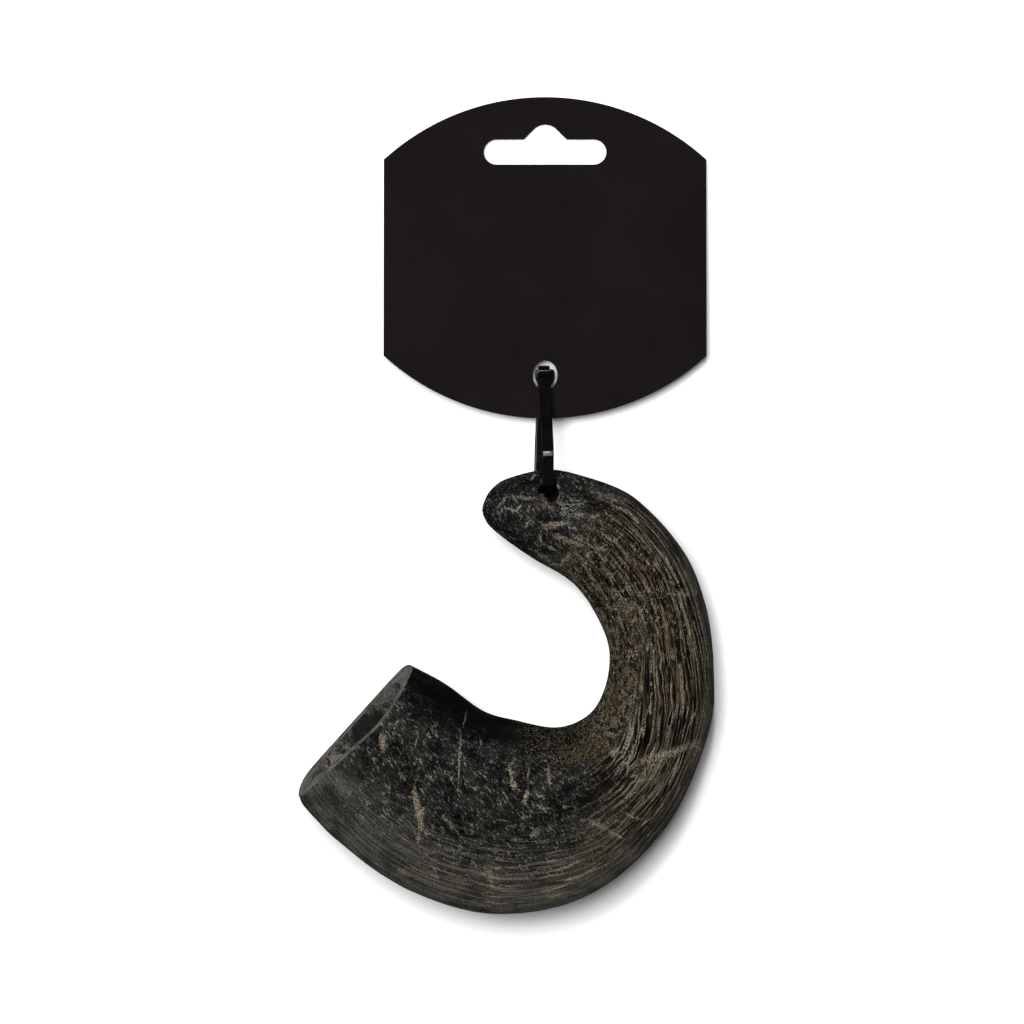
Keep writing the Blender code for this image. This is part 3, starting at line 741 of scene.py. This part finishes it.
class Graph:
    """A material's nodes, made by short calls that return the level or the socket to go on from."""

    def __init__(self, name, colour):
        self.material = bpy.data.materials.new(name)
        self.material.use_nodes = True
        self.tree = self.material.node_tree
        self.shader = self.tree.nodes["Principled BSDF"]
        self.colour = colour

    def node(self, kind, inputs=(), **settings):
        made = self.tree.nodes.new("ShaderNode" + kind)
        for key, value in settings.items():
            setattr(made, key, value)
        for key, value in dict(inputs).items():
            self.put(made.inputs[key], value)
        return made

    def put(self, socket, value):
        if isinstance(value, Level):
            value = value.socket
        if isinstance(value, bpy.types.NodeSocket):
            self.tree.links.new(value, socket)
        elif socket.type == "RGBA" and len(value) == 3:
            socket.default_value = (*value, 1.0)
        else:
            socket.default_value = value

    def lay(self, share, colour):
        """Lays a colour over the surface by this share."""
        self.colour = self.blend(share, self.colour, colour)

    def surface(self, roughness, specular, height=None, relief=0.0, strength=1.0):
        """The finished material, with fine relief of this many metres where a height is given."""
        inputs = {"Base Color": self.colour, "Roughness": roughness, "Specular IOR Level": specular}
        if height is not None:
            bump = {"Height": height, "Strength": strength, "Distance": relief}
            inputs["Normal"] = self.node("Bump", bump).outputs[0]
        for key, value in inputs.items():
            self.put(self.shader.inputs[key], value)
        return self.material

    def math(self, operation, first, second=0.0):
        made = self.node("Math", {0: first, 1: second}, operation=operation)
        return Level(self, made.outputs[0])

    def attribute(self, name):
        return Level(self, self.node("Attribute", attribute_name=name).outputs["Fac"])

    def grain(self):
        return self.node("Attribute", attribute_name="grain").outputs["Vector"]

    def place(self):
        """Where the point is, in millimetres."""
        where = self.node("TexCoord").outputs["Object"]
        return self.stretch(where, (1 / MM,) * 3)

    def stretch(self, vector, by):
        return self.node("VectorMath", {0: vector, 1: by}, operation="MULTIPLY").outputs[0]

    def moved(self, vector, by):
        return self.node("VectorMath", {0: vector, 1: by}, operation="ADD").outputs[0]

    def turned(self, vector, angle, stretched, centre=(0, 0, 0)):
        """Turned about Z round a centre, then divided by a stretch on each axis."""
        inputs = {"Vector": vector, "Location": centre, "Rotation": (0, 0, angle), "Scale": stretched}
        return self.node("Mapping", inputs, vector_type="TEXTURE").outputs[0]

    def warped(self, vector, scale, by):
        """The vector moved about by smooth noise, by up to about this much on each axis."""
        made = self.node("TexNoise", {"Vector": vector, "Scale": scale, "Detail": 1.0})
        centred = self.moved(made.outputs["Color"], (-NOISE_MIDDLE,) * 3)
        return self.moved(vector, self.stretch(centred, by))

    def noise(self, vector, scale, detail, roughness=0.5):
        inputs = {"Vector": vector, "Scale": scale, "Detail": detail, "Roughness": roughness}
        return Level(self, self.node("TexNoise", inputs).outputs["Fac"])

    def streaks(self, vector, along, across, detail, roughness=0.5):
        """Noise this fine along the first axis, and this fine across it."""
        return self.noise(self.stretch(vector, (along, across, across)), 1.0, detail, roughness)

    def ellipse(self, vector, centre, half_length, half_width, turn, strength):
        """Strong inside an upright ellipse, and nothing outside it."""
        size = (half_length, half_width, TALL)
        middle = (centre[0] + DRAWING_AT.x, centre[1] + DRAWING_AT.y, 0)
        spot = self.turned(vector, turn, size, middle)
        far = self.node("VectorMath", {0: spot}, operation="LENGTH").outputs["Value"]
        return Level(self, far).step(MARK_GONE, MARK_FULL, 0.0, strength)

    def marks(self, vector, kind):
        total = 0.0
        for shape in mark_shapes(kind):
            total = self.ellipse(vector, *shape).most(total)
        return total * self.attribute("upper")

    def strokes(self, vector, scale, width, gaps):
        """Thin curled strokes: where a noise passes its middle level, broken up by another."""
        curls = self.noise(vector, scale, 1.0)
        away = self.math("ABSOLUTE", curls + -NOISE_MIDDLE)
        breaks = self.noise(self.moved(vector, BREAKS_AWAY), scale * BREAKS_FINER, 1.0)
        return away.step(width, width * STROKE_FULL) * breaks.step(gaps, gaps + BREAKS_FADE)

    def depth(self, vector):
        """How far behind the saw cut the point is."""
        cut = (SAW_MIDDLE + np.array(DRAWING_AT)) @ SAW_FACING
        along = self.node("VectorMath", {0: vector, 1: SAW_FACING}, operation="DOT_PRODUCT")
        return self.math("SUBTRACT", cut, along.outputs["Value"])

    def blend(self, share, first, second):
        made = self.node("Mix", {"Factor": share}, data_type="RGBA", clamp_factor=True)
        colours = [socket for socket in made.inputs if socket.type == "RGBA"]
        self.put(colours[0], first)
        self.put(colours[1], second)
        return next(socket for socket in made.outputs if socket.type == "RGBA")


SKIN_BLACK = (0.0016, 0.0016, 0.0015)
CHARCOAL = (0.0078, 0.0076, 0.0068)
HAZE_AND_SHEEN = (0.070, 0.067, 0.055)
SMOKE = (0.056, 0.056, 0.051)
ASH = (0.190, 0.185, 0.162)
BROWN = (0.054, 0.0385, 0.0225)
OLIVE = (0.088, 0.077, 0.053)
PALE_OLIVE = (0.208, 0.184, 0.134)
WORN_TAN = (0.200, 0.170, 0.128)
WORN_GREY = (0.215, 0.212, 0.190)
WHITE = (1.0, 1.0, 1.0)
# How far the curled strokes, the lines that cross the grain and the short lines are turned from X.
STROKE_LEAN = radians(-58)
CROSSING_LEAN = radians(62)
HATCH_LEAN = radians(-48)


def skin_material():
    graph = Graph("horn_skin", SKIN_BLACK)
    place, grain = graph.place(), graph.grain()
    haze_and_sheen, lined, torn, fine, smoke, hatch, speckle, warm = map(graph.attribute, FIELDS)
    dark, brown, band, worn = map(graph.attribute, MARK_FIELDS)
    ridge = graph.attribute("ridge")

    cloud = graph.noise(place, 0.16, 3.0)
    patchy = graph.noise(place, 0.30, 3.0, 0.6).step(0.42, 0.62)
    grit = graph.noise(place, 2.4, 3.0, 0.7)
    speckled = grit.step(0.44, 0.60)
    graph.lay((cloud + grit * 0.4).step(0.56, 0.86), CHARCOAL)

    # Brown-grey haze with long fine streaks at the outer edge: partly the horn's cloudy grey, partly a
    # painted sheen of grazing light.
    long_grain = graph.warped(grain, 0.10, (0.0, 1.4, 1.4))
    hair = graph.streaks(long_grain, 0.06, 2.6, 3.0, 0.65)
    hazy = hair.step(0.40, 0.62) * 0.5 + 0.34
    hazy = hazy * cloud.step(0.36, 0.56, 0.55, 1.0)
    graph.lay(hazy * grit.step(0.36, 0.60, 0.65, 1.1) * haze_and_sheen, HAZE_AND_SHEEN)

    # Smoky clouds, and curled strokes that lean across the grain, over the lower body and the tip.
    graph.lay(smoke * patchy * speckled * 0.32, SMOKE)
    leaning = graph.turned(place, STROKE_LEAN, (2.0, 0.72, 1.0))
    drawn = graph.warped(leaning, 0.6, (1.1, 1.1, 1.1))
    stroke = graph.strokes(drawn, 0.80, 0.10, 0.50)
    small_stroke = graph.strokes(graph.moved(drawn, (31.0, 8.0, 5.0)), 1.6, 0.11, 0.50)
    strength = smoke * (patchy * 0.7 + 0.25)
    graph.lay(small_stroke * (strength * 0.8), SMOKE)
    stroke_colour = graph.blend(speckled * 0.9, SMOKE, ASH)
    graph.lay(stroke * strength, stroke_colour)

    # Fine lines along the grain.
    graph.lay(hair.step(0.54, 0.62) * fine * 0.8, OLIVE)
    thread = graph.strokes(graph.stretch(long_grain, (0.07, 1.0, 1.0)), 1.0, 0.06, 0.48)
    graph.lay(thread * fine * grit.step(0.42, 0.56, 0.1, 0.8), PALE_OLIVE)

    # The lined arc: brown grounds, black grooves that are painted shade, and thin crests of tan fibre with
    # painted highlight, torn and crossing near the tip.
    wavy = graph.warped(graph.warped(grain, 0.22, (0.0, 0.9, 0.9)), 0.8, (0.0, 0.22, 0.22))
    ground = graph.streaks(wavy, 0.12, 0.8, 3.0, 0.65)
    warm_share = lined * 0.45 + warm * 0.5
    graph.lay(warm_share * ground.step(0.42, 0.56), BROWN)
    fibres = graph.streaks(wavy, 0.08, 2.3, 1.0)
    # Painted shade in the grooves between the fibres.
    graph.lay(fibres.step(0.50, 0.43) * lined * 0.94, SKIN_BLACK)
    graph.lay(fibres.step(0.55, 0.60) * lined * 0.40, OLIVE)
    gaps = graph.streaks(grain, 0.40, 1.3, 2.0).step(0.40, 0.50)
    # Thin crests: tan fibre colour with a painted highlight where the ridges catch the light.
    crest = graph.strokes(graph.stretch(wavy, (0.045, 0.62, 0.62)), 1.0, 0.036, 0.38)
    crest = crest.most(fibres.step(0.615, 0.67)) * graph.blend(torn, WHITE, gaps)
    crossing = graph.turned(place, CROSSING_LEAN, (2.6, 0.9, 1.2))
    crossing = graph.warped(crossing, 0.7, (0.8, 0.8, 0.8))
    crossed = graph.strokes(crossing, 1.0, 0.06, 0.48)
    crest = crest.most(crossed * torn) * lined * grit.step(0.36, 0.50, 0.3, 1.0)
    crest_colour = graph.blend(speckled, OLIVE, PALE_OLIVE)
    graph.lay(crest, crest_colour)

    # Speckle inside the bend, and short lines across the grain.
    clumps = graph.noise(graph.moved(drawn, (3.0, 41.0, 9.0)), 0.6, 3.0, 0.7)
    graph.lay(clumps.step(0.48, 0.58, 0.0, 0.7) * speckle, BROWN)
    speck = small_stroke.most(crossed).most(stroke) * speckle
    graph.lay(speck * grit.step(0.38, 0.52, 0.25, 1.0), crest_colour)
    gap = grit.step(0.64, 0.50, 0.3, 0.92) * clumps.step(0.52, 0.45)
    graph.lay(gap * speckle.most(torn * lined), SKIN_BLACK)
    slanted = graph.turned(place, HATCH_LEAN, (2.6, 0.34, 0.6))
    slanted = graph.warped(slanted, 0.5, (0.6, 0.6, 0.6))
    across = graph.noise(slanted, 1.0, 2.0, 0.6)
    graph.lay(across.step(0.52, 0.44) * hatch, SKIN_BLACK)
    graph.lay(across.step(0.53, 0.60) * hatch * grit.step(0.42, 0.56, 0.2, 0.9), OLIVE)

    # Single marks.
    ragged = graph.warped(graph.warped(place, 0.8, (1.5, 1.5, 0.0)), 2.4, (1.3, 1.3, 0.0))
    bent = graph.warped(graph.warped(place, 0.45, (0.9, 0.9, 0.0)), 1.8, (0.4, 0.4, 0.0))
    graph.lay(brown * fibres.step(0.40, 0.56) * 0.7, BROWN)
    graph.lay(band * grit.step(0.44, 0.56), PALE_OLIVE)
    # Dark marks: the horn's dark patches, and painted shade along the inner edge near the base.
    graph.lay(dark * grit.step(0.60, 0.50, 0.5, 1.0), SKIN_BLACK)
    graph.lay(graph.marks(ragged, "tan") * grit.step(0.42, 0.56, 0.05, 1.0), WORN_TAN)
    graph.lay(graph.marks(bent, "pale") * grit.step(0.42, 0.56, 0.1, 1.0), ASH)
    scraped = grit.step(0.50, 0.62, 0.0, 0.8).most(small_stroke * 0.8)
    graph.lay(scraped * clumps.step(0.40, 0.54, 0.15, 1.0) * worn, WORN_GREY)

    # Fine grain over everything.
    graph.lay(grit.step(0.50, 0.34, 0.0, 0.6), SKIN_BLACK)
    height = ridge * lined * 0.3 + grit * 0.7
    roughness = cloud.step(0.3, 0.7, 0.46, 0.60)
    return graph.surface(roughness, specular=0.006, height=height, relief=0.00020)


RIM_GREY = (0.050, 0.049, 0.044)
RIM_PALE = (0.105, 0.103, 0.094)
RIM_SAWN = (0.150, 0.147, 0.134)
RIM_LAYER = (0.026, 0.025, 0.021)
RIM_PIT = (0.022, 0.021, 0.018)
SAW_LINES_LEAN = radians(38)


def rim_material():
    graph = Graph("horn_sawn", RIM_GREY)
    place, grain = graph.place(), graph.grain()
    graph.lay(graph.noise(place, 0.35, 3.0).step(0.35, 0.65), RIM_PALE)
    sawn = graph.noise(graph.turned(place, SAW_LINES_LEAN, (7.0, 0.35, 0.35)), 1.0, 2.0)
    graph.lay(sawn.step(0.55, 0.7, 0.0, 0.5), RIM_SAWN)
    layers = graph.streaks(grain, 0.1, 0.6, 2.0)
    graph.lay(layers.step(0.45, 0.35, 0.0, 0.5), RIM_LAYER)
    grit = graph.noise(place, 2.0, 3.0, 0.7)
    graph.lay(grit.step(0.50, 0.36, 0.0, 0.6), RIM_PIT)
    return graph.surface(roughness=0.6, specular=0.02, height=sawn * 0.6 + grit, relief=0.00008)


# Patches of the hollow's wall seen through the mouth: the darkest one in the middle, which is painted
# shade, pale scale at the lower end, and grey that fades from the rim at the upper end. Each is its
# centre, half its length and half its width, how it is turned, and its strength.
LENGTHWISE = radians(46)
SHADE = ((-37.0, -58.0), 7.0, 3.2, LENGTHWISE, 0.9)
SCALE = ((-45.6, -66.7), 7.0, 2.4, LENGTHWISE, 0.55)
FADING = ((-29.6, -47.6), 4.6, 2.6, LENGTHWISE, 0.65)
HOLLOW_BLACK = (0.010, 0.010, 0.010)
HOLLOW_GREY = (0.052, 0.050, 0.044)
MOUTH_GREY = (0.066, 0.064, 0.057)
FIBRE_BLACK = (0.007, 0.007, 0.007)
RUST = (0.090, 0.068, 0.045)
CHALK = (0.150, 0.145, 0.125)
SHADE_BLACK = (0.006, 0.006, 0.006)
SCALE_GREY = (0.135, 0.124, 0.103)
FADING_GREY = (0.085, 0.083, 0.075)


def hollow_material():
    graph = Graph("horn_hollow", HOLLOW_BLACK)
    place, grain = graph.place(), graph.grain()
    blotch = graph.noise(graph.warped(place, 0.5, (2.0, 2.0, 2.0)), 0.55, 3.0, 0.65)
    grit = graph.noise(place, 2.2, 3.0, 0.7)
    wavy = graph.warped(grain, 0.4, (2, 1, 1))
    fibres = graph.streaks(wavy, 0.35, 1.1, 3.0, 0.65)
    graph.lay(blotch.step(0.42, 0.60), HOLLOW_GREY)
    # Painted light at the mouth: the wall is lighter near the saw cut and darker deeper in the hollow.
    graph.lay((graph.depth(place) + blotch * 5.0).step(4.6, 2.2, 0.0, 0.6), MOUTH_GREY)
    graph.lay(fibres.step(0.54, 0.38, 0.0, 0.85), FIBRE_BLACK)
    rusty = graph.noise(graph.moved(place, (40.0, 9.0, 3.0)), 0.45, 2.0)
    graph.lay(rusty.step(0.56, 0.66, 0.0, 0.45), RUST)
    graph.lay(grit.step(0.56, 0.68, 0.0, 0.6), CHALK)
    uneven = graph.warped(place, 0.5, (3, 3, 0))
    # Painted shade: the darkest patch, deep in the middle of the hollow.
    graph.lay(graph.ellipse(uneven, *SHADE), SHADE_BLACK)
    graph.lay(graph.ellipse(uneven, *SCALE) * blotch.step(0.46, 0.58), SCALE_GREY)
    graph.lay(graph.ellipse(uneven, *FADING) * grit.step(0.40, 0.56, 0.4, 1.0), FADING_GREY)
    graph.lay(grit.step(0.46, 0.34, 0.0, 0.7), SHADE_BLACK)
    return graph.surface(roughness=0.7, specular=0.01, height=fibres + blotch, relief=0.0005)


DRILLED_BLACK = (0.002, 0.002, 0.002)
DRILLED_BROWN = (0.012, 0.010, 0.008)


def drilled_material():
    graph = Graph("horn_drilled", DRILLED_BLACK)
    rings = graph.noise(graph.stretch(graph.place(), (0.2, 0.2, 3.2)), 1.0, 2.0)
    graph.lay(rings.step(0.4, 0.6), DRILLED_BROWN)
    return graph.surface(roughness=0.6, specular=0.02, height=rings, relief=0.0001)


def make_horn():
    materials = [hollow_material(), rim_material(), skin_material(), drilled_material()]
    horn = new_object("horn_detail", horn_mesh(materials))
    drill(horn)
    add_to_body(horn, "horn")


# Hang card: straight sides, and a shallow arc at the top and at the bottom.
CARD_CENTRE = (9.95, 64.85)
CARD_WIDTH = 84.4
CARD_HEIGHT = 84.4
CARD_SIDE = 51.5
CARD_THICKNESS = 0.5
CARD_TILT = radians(3.5)
CARD_ARC_STEPS = 70
SLOT_UP = 27.75
SLOT_LENGTH = 32.1
SLOT_HEIGHT = 6.65
SLOT_DOME_RISE = 3.9
SLOT_DOME_RADIUS = 4.2
SLOT_FLANK = radians(45)
SLOT_STEPS = 16
TIE_HOLE_DOWN = 30.9
TIE_HOLE_WIDTH = 6.5
TIE_HOLE_HEIGHT = 7.8
TIE_HOLE_STEPS = 48
CARD_BLACK = (0.0056, 0.0043, 0.0047)
CARD_WORN = (0.0068, 0.0053, 0.0057)
EDGE_DARK = (0.010, 0.009, 0.009)
EDGE_PALE = (0.040, 0.036, 0.032)
CARD_GRAIN_LEAN = radians(8)
WELD_DISTANCE = 0.00001


def arc_points(centre, radius, start, end, steps):
    angles = [start + (end - start) * i / steps for i in range(steps + 1)]
    return [(centre[0] + radius * cos(a), centre[1] + radius * sin(a)) for a in angles]


def card_outline():
    half_width, half_side = CARD_WIDTH / 2, CARD_SIDE / 2
    rise = CARD_HEIGHT / 2 - half_side
    radius = (half_width**2 + rise**2) / (2 * rise)
    down = CARD_HEIGHT / 2 - radius
    edge = atan2(half_side - down, half_width)
    top = arc_points((0, down), radius, edge, pi - edge, CARD_ARC_STEPS)
    return top + [(-x, -y) for x, y in top]


def slot_outline():
    """A long slot with round ends, and a dome with straight flanks on its upper edge."""
    round_end = SLOT_HEIGHT / 2
    end_x = SLOT_LENGTH / 2 - round_end
    upper_edge = SLOT_UP + round_end
    dome_y = upper_edge + SLOT_DOME_RISE - SLOT_DOME_RADIUS
    leaves = pi / 2 - SLOT_FLANK
    dome = arc_points((0, dome_y), SLOT_DOME_RADIUS, leaves, pi - leaves, SLOT_STEPS)
    foot_x = dome[0][0] + (dome[0][1] - upper_edge) / tan(SLOT_FLANK)
    right = arc_points((end_x, SLOT_UP), round_end, -pi / 2, pi / 2, SLOT_STEPS)
    left = arc_points((-end_x, SLOT_UP), round_end, pi / 2, 3 * pi / 2, SLOT_STEPS)
    return right + [(foot_x, upper_edge)] + dome + [(-foot_x, upper_edge)] + left


def tie_hole_outline():
    angles = [2 * pi * i / TIE_HOLE_STEPS for i in range(TIE_HOLE_STEPS)]
    half_width, half_height = TIE_HOLE_WIDTH / 2, TIE_HOLE_HEIGHT / 2
    return [(half_width * cos(a), half_height * sin(a) - TIE_HOLE_DOWN) for a in angles]


def card_material():
    graph = Graph("card_face", CARD_BLACK)
    place = graph.place()
    fibre = graph.noise(graph.turned(place, CARD_GRAIN_LEAN, (1.6, 0.5, 0.5)), 1.0, 3.0, 0.6)
    graph.lay(graph.noise(place, 0.05, 2.0).step(0.35, 0.65), CARD_WORN)
    roughness = fibre.step(0.3, 0.7, 0.55, 0.65)
    return graph.surface(roughness, specular=0.008, height=fibre, relief=0.00003, strength=0.5)


def card_edge_material():
    graph = Graph("card_edge", EDGE_DARK)
    graph.lay(graph.noise(graph.place(), 3.0, 3.0).step(0.35, 0.65), EDGE_PALE)
    return graph.surface(roughness=0.8, specular=0.2)


def make_card():
    flat = bpy.data.curves.new("card", "CURVE")
    flat.dimensions = "2D"
    flat.fill_mode = "BOTH"
    flat.extrude = CARD_THICKNESS / 2 * MM
    for outline in (card_outline(), slot_outline(), tie_hole_outline()):
        spline = flat.splines.new("POLY")
        spline.points.add(len(outline) - 1)
        for point, (x, y) in zip(spline.points, outline):
            point.co = (x * MM, y * MM, 0, 1)
        spline.use_cyclic_u = True
    drawn = new_object("card_drawn", flat)
    rise = CARD_HEIGHT / 2 * sin(CARD_TILT) + CARD_THICKNESS / 2 * cos(CARD_TILT)
    drawn.location = (Vector((*CARD_CENTRE, rise)) + DRAWING_AT) * MM
    drawn.rotation_euler = (-CARD_TILT, 0, 0)
    mesh = worked_out(drawn)
    mesh.transform(drawn.matrix_world)
    with reshaped(mesh) as shaped:
        bmesh.ops.remove_doubles(shaped, verts=shaped.verts, dist=WELD_DISTANCE)
        bmesh.ops.recalc_face_normals(shaped, faces=shaped.faces)
    bpy.data.objects.remove(drawn)
    card = new_object("hang_card_detail", mesh)
    mesh.materials.clear()
    mesh.materials.append(card_material())
    mesh.materials.append(card_edge_material())
    # The faces that lie flat are the coated ones, and the upright ones are cut edges.
    for face in mesh.polygons:
        face.material_index = 0 if abs(face.normal.z) > 0.5 else 1
    add_to_body(card, "hang_card")


# Cable tie: the middle line of the strap, from inside the head, down through the tip, back under the
# card and up into the head again.
STRAP_WIDTH = 3.0
STRAP_THICKNESS = 1.1
STRAP_ROUTE = [
    (9.9, 32.4, 6.1), (9.95, 29.6, 7.1), (10.05, 26.6, 8.5), (10.2, 23.6, 11.2),
    (10.35, 20.8, 14.4), (10.45, 18.2, 17.5), (10.55, 16.0, 19.8), (10.6, 14.2, 21.0),
    (10.6, 12.8, 21.3), (10.6, 10.6, 21.0), (10.6, 8.2, 20.7), (10.65, 6.1, 20.35),
    (10.55, 4.6, 18.9), (10.2, 3.85, 16.4), (9.5, 3.2, 13.0), (8.8, 2.4, 9.0), (8.15, 1.9, 5.6),
    (8.2, 2.5, 3.2), (8.4, 4.4, 1.5), (8.55, 7.4, 1.0), (8.65, 11.6, 1.0), (8.8, 17.0, 1.1),
    (9.1, 23.0, 1.5), (9.4, 28.6, 2.0), (9.5, 33.4, 2.2), (9.6, 35.1, 2.7), (9.65, 36.0, 4.2),
    (9.65, 35.6, 5.9), (9.7, 34.6, 7.3), (9.8, 33.6, 8.4),
]
TOOTH_PITCH = 1.1
TOOTHED_PAST = 24.5
TOOTH_STEPS = 4
TOOTH_HEIGHT = 0.12
TOOTH_HALF_WIDTH = 0.95
CHANNEL_FLANK = 0.08
STRAP_CORNER = 0.3
STRAP_CORNER_STEPS = 3
HEAD_AT = (9.9, 34.0)
HEAD_WIDTH = 5.1
HEAD_TOP = 1.5
HEAD_SHOULDER = -1.0
HEAD_FOOT = -2.8
HEAD_CORNER = 0.9
HEAD_CORNER_STEPS = 8
HEAD_LOW = 3.7
HEAD_HIGH = 8.0
HEAD_EDGE = 0.45
HEAD_EDGE_STEPS = 5
HEAD_SLOPE = 0.07
TAIL_SLOT = (2.0, 0.5, 0.7)
TAIL_SLOT_AT = (9.85, 34.0, 8.0)
SHARP_FROM = radians(32)
NYLON_BLACK = (0.0012, 0.0012, 0.0012)
NYLON_GREY = (0.0020, 0.0020, 0.0020)


def strap_middle():
    """Evenly spaced points on a smooth curve through the strap's route, and their directions."""
    route = np.array(STRAP_ROUTE)
    knots = travelled(route)
    steps = int(knots[-1] / TOOTH_PITCH * TOOTH_STEPS)
    line = smooth_through(knots, route, np.linspace(0, knots[-1], steps + 1))
    heading = np.gradient(line, axis=0)
    return line, heading / np.linalg.norm(heading, axis=1)[:, None]


def strap_profile(tooth):
    """Across and through the strap: round corners, and a toothed channel on the inside face."""
    half_width, half_thickness = STRAP_WIDTH / 2, STRAP_THICKNESS / 2
    x, y = half_width - STRAP_CORNER, half_thickness - STRAP_CORNER
    outline = []
    for centre, start in (((x, y), 0), ((-x, y), pi / 2), ((-x, -y), pi), ((x, -y), 3 * pi / 2)):
        outline += arc_points(centre, STRAP_CORNER, start, start + pi / 2, STRAP_CORNER_STEPS)
        if start == 0:
            bed = half_thickness - TOOTH_HEIGHT + tooth * TOOTH_HEIGHT
            bed_half = TOOTH_HALF_WIDTH - CHANNEL_FLANK
            outline += [(TOOTH_HALF_WIDTH, half_thickness), (bed_half, bed)]
            outline += [(-bed_half, bed), (-TOOTH_HALF_WIDTH, half_thickness)]
    return outline


def strap_rings():
    line, heading = strap_middle()
    turn = int(np.argmin(line[:, 2]))
    across = np.array((1.0, 0.0, 0.0))
    rings = []
    for i, (point, direction) in enumerate(zip(line, heading)):
        inward = np.array((0.0, -direction[2], direction[1]))
        inward /= np.linalg.norm(inward)
        toothed = i > turn and point[1] > TOOTHED_PAST
        tooth = (i % TOOTH_STEPS) / (TOOTH_STEPS - 1) if toothed else 1.0
        rings.append([point + across * a + inward * b for a, b in strap_profile(tooth)])
    return rings


def head_outline(inset):
    half, foot_half = HEAD_WIDTH / 2 - inset, STRAP_WIDTH / 2 - inset
    corner = (half - HEAD_CORNER, HEAD_TOP - inset - HEAD_CORNER)
    round_corner = arc_points(corner, HEAD_CORNER, 0, pi / 2, HEAD_CORNER_STEPS)
    right = [(foot_half, HEAD_FOOT + inset), (half, HEAD_SHOULDER)] + round_corner
    return right + [(-x, y) for x, y in reversed(right)]


def head_rings():
    rings = []
    for step in range(HEAD_EDGE_STEPS + 1):
        turn = pi / 2 * step / HEAD_EDGE_STEPS
        rings.append((HEAD_LOW + HEAD_EDGE * (1 - sin(turn)), HEAD_EDGE * (1 - cos(turn))))
    rings = rings[::-1] + [(HEAD_HIGH - (z - HEAD_LOW), inset) for z, inset in rings]
    return [
        [(HEAD_AT[0] + x, HEAD_AT[1] + y, z + HEAD_SLOPE * (y - HEAD_TOP)) for x, y in head_outline(inset)]
        for z, inset in rings
    ]


def nylon_material():
    graph = Graph("nylon_black", NYLON_BLACK)
    moulded = graph.noise(graph.place(), 1.6, 3.0, 0.6)
    graph.lay(moulded.step(0.3, 0.7), NYLON_GREY)
    roughness = moulded.step(0.3, 0.7, 0.06, 0.08)
    return graph.surface(roughness, specular=0.11, height=moulded, relief=0.00002, strength=0.6)


def block(name, centre, size):
    mesh = bpy.data.meshes.new(name)
    with reshaped(mesh) as shaped:
        bmesh.ops.create_cube(shaped, size=1.0)
        bmesh.ops.scale(shaped, vec=Vector(size) * MM, verts=shaped.verts)
        bmesh.ops.translate(shaped, vec=(Vector(centre) + DRAWING_AT) * MM, verts=shaped.verts)
    return new_object(name, mesh)


def make_tie():
    head = new_object("cable_tie_detail", ring_mesh("cable_tie_detail", head_rings()))
    combine(head, block("tail_slot", TAIL_SLOT_AT, TAIL_SLOT), "DIFFERENCE")
    strap = new_object("strap", ring_mesh("strap", strap_rings()))
    combine(head, strap, "UNION")
    head.data.materials.clear()
    head.data.materials.append(nylon_material())
    head.data.shade_smooth()
    head.data.set_sharp_from_angle(angle=SHARP_FROM)
    flat_faces = head.modifiers.new("flat_faces", "WEIGHTED_NORMAL")
    flat_faces.keep_sharp = True
    add_to_body(head, "cable_tie")


# Table and camera. How wide the table is and how far the camera sees are in metres.
FLOOR_SIZE = 12.0
TABLE_WHITE = (0.88, 0.88, 0.88)
CAMERA_OVER = (1.51, -2.23)
CAMERA_HEIGHT = 1489.0
CAMERA_REACH = 50.0
FRAME_WIDTH = 268.3
SENSOR = 36.0

# Lights, in metres from the point that they face. Each has its compass side with 0 along +Y, its lean
# from the vertical, its distance, width, height and power. The bend of the tie mirrors the narrow strip.
WORLD_STRENGTH = 0.18
AIM = Vector((0.0, -0.02, 0.01))
LIGHTS = {
    "key": (-50.0, 16.0, 1.5, 0.72, 0.72, 31.0),
    "strip": (0.0, 28.0, 1.4, 0.08, 0.36, 5.5),
}


def make_floor():
    mesh = bpy.data.meshes.new("table")
    with reshaped(mesh) as shaped:
        bmesh.ops.create_grid(shaped, x_segments=1, y_segments=1, size=FLOOR_SIZE / 2)
    floor = new_object("table", mesh)
    mesh.materials.append(Graph("table_white", TABLE_WHITE).surface(roughness=0.9, specular=0.1))
    # The glossy black nylon would mirror the bright table.
    floor.visible_glossy = False


def soft_light(name, azimuth, from_vertical, distance, width, height, power):
    """A soft light that faces the object."""
    data = bpy.data.lights.new(name, "AREA")
    data.shape = "RECTANGLE"
    data.size = width
    data.size_y = height
    data.energy = power
    light = new_object(name, data)
    lean, side = radians(from_vertical), radians(azimuth)
    away = Vector((sin(lean) * sin(side), sin(lean) * cos(side), cos(lean)))
    light.location = AIM + away * distance
    light.rotation_euler = away.to_track_quat("Z", "Y").to_euler()


def make_light():
    for name, values in LIGHTS.items():
        soft_light(name, *values)
    world = bpy.data.worlds.new("studio")
    bpy.context.scene.world = world
    world.use_nodes = True
    background = world.node_tree.nodes["Background"]
    background.inputs["Color"].default_value = (*WHITE, 1.0)
    background.inputs["Strength"].default_value = WORLD_STRENGTH
    bpy.context.scene.view_settings.view_transform = "Standard"


def make_camera():
    data = bpy.data.cameras.new("camera")
    data.sensor_width = SENSOR
    data.lens = SENSOR * CAMERA_HEIGHT / FRAME_WIDTH
    data.clip_end = CAMERA_REACH
    camera = new_object("camera", data)
    camera.location = Vector((*CAMERA_OVER, CAMERA_HEIGHT)) * MM
    bpy.context.scene.camera = camera


make_camera()
make_horn()
make_card()
make_tie()
make_floor()
make_light()
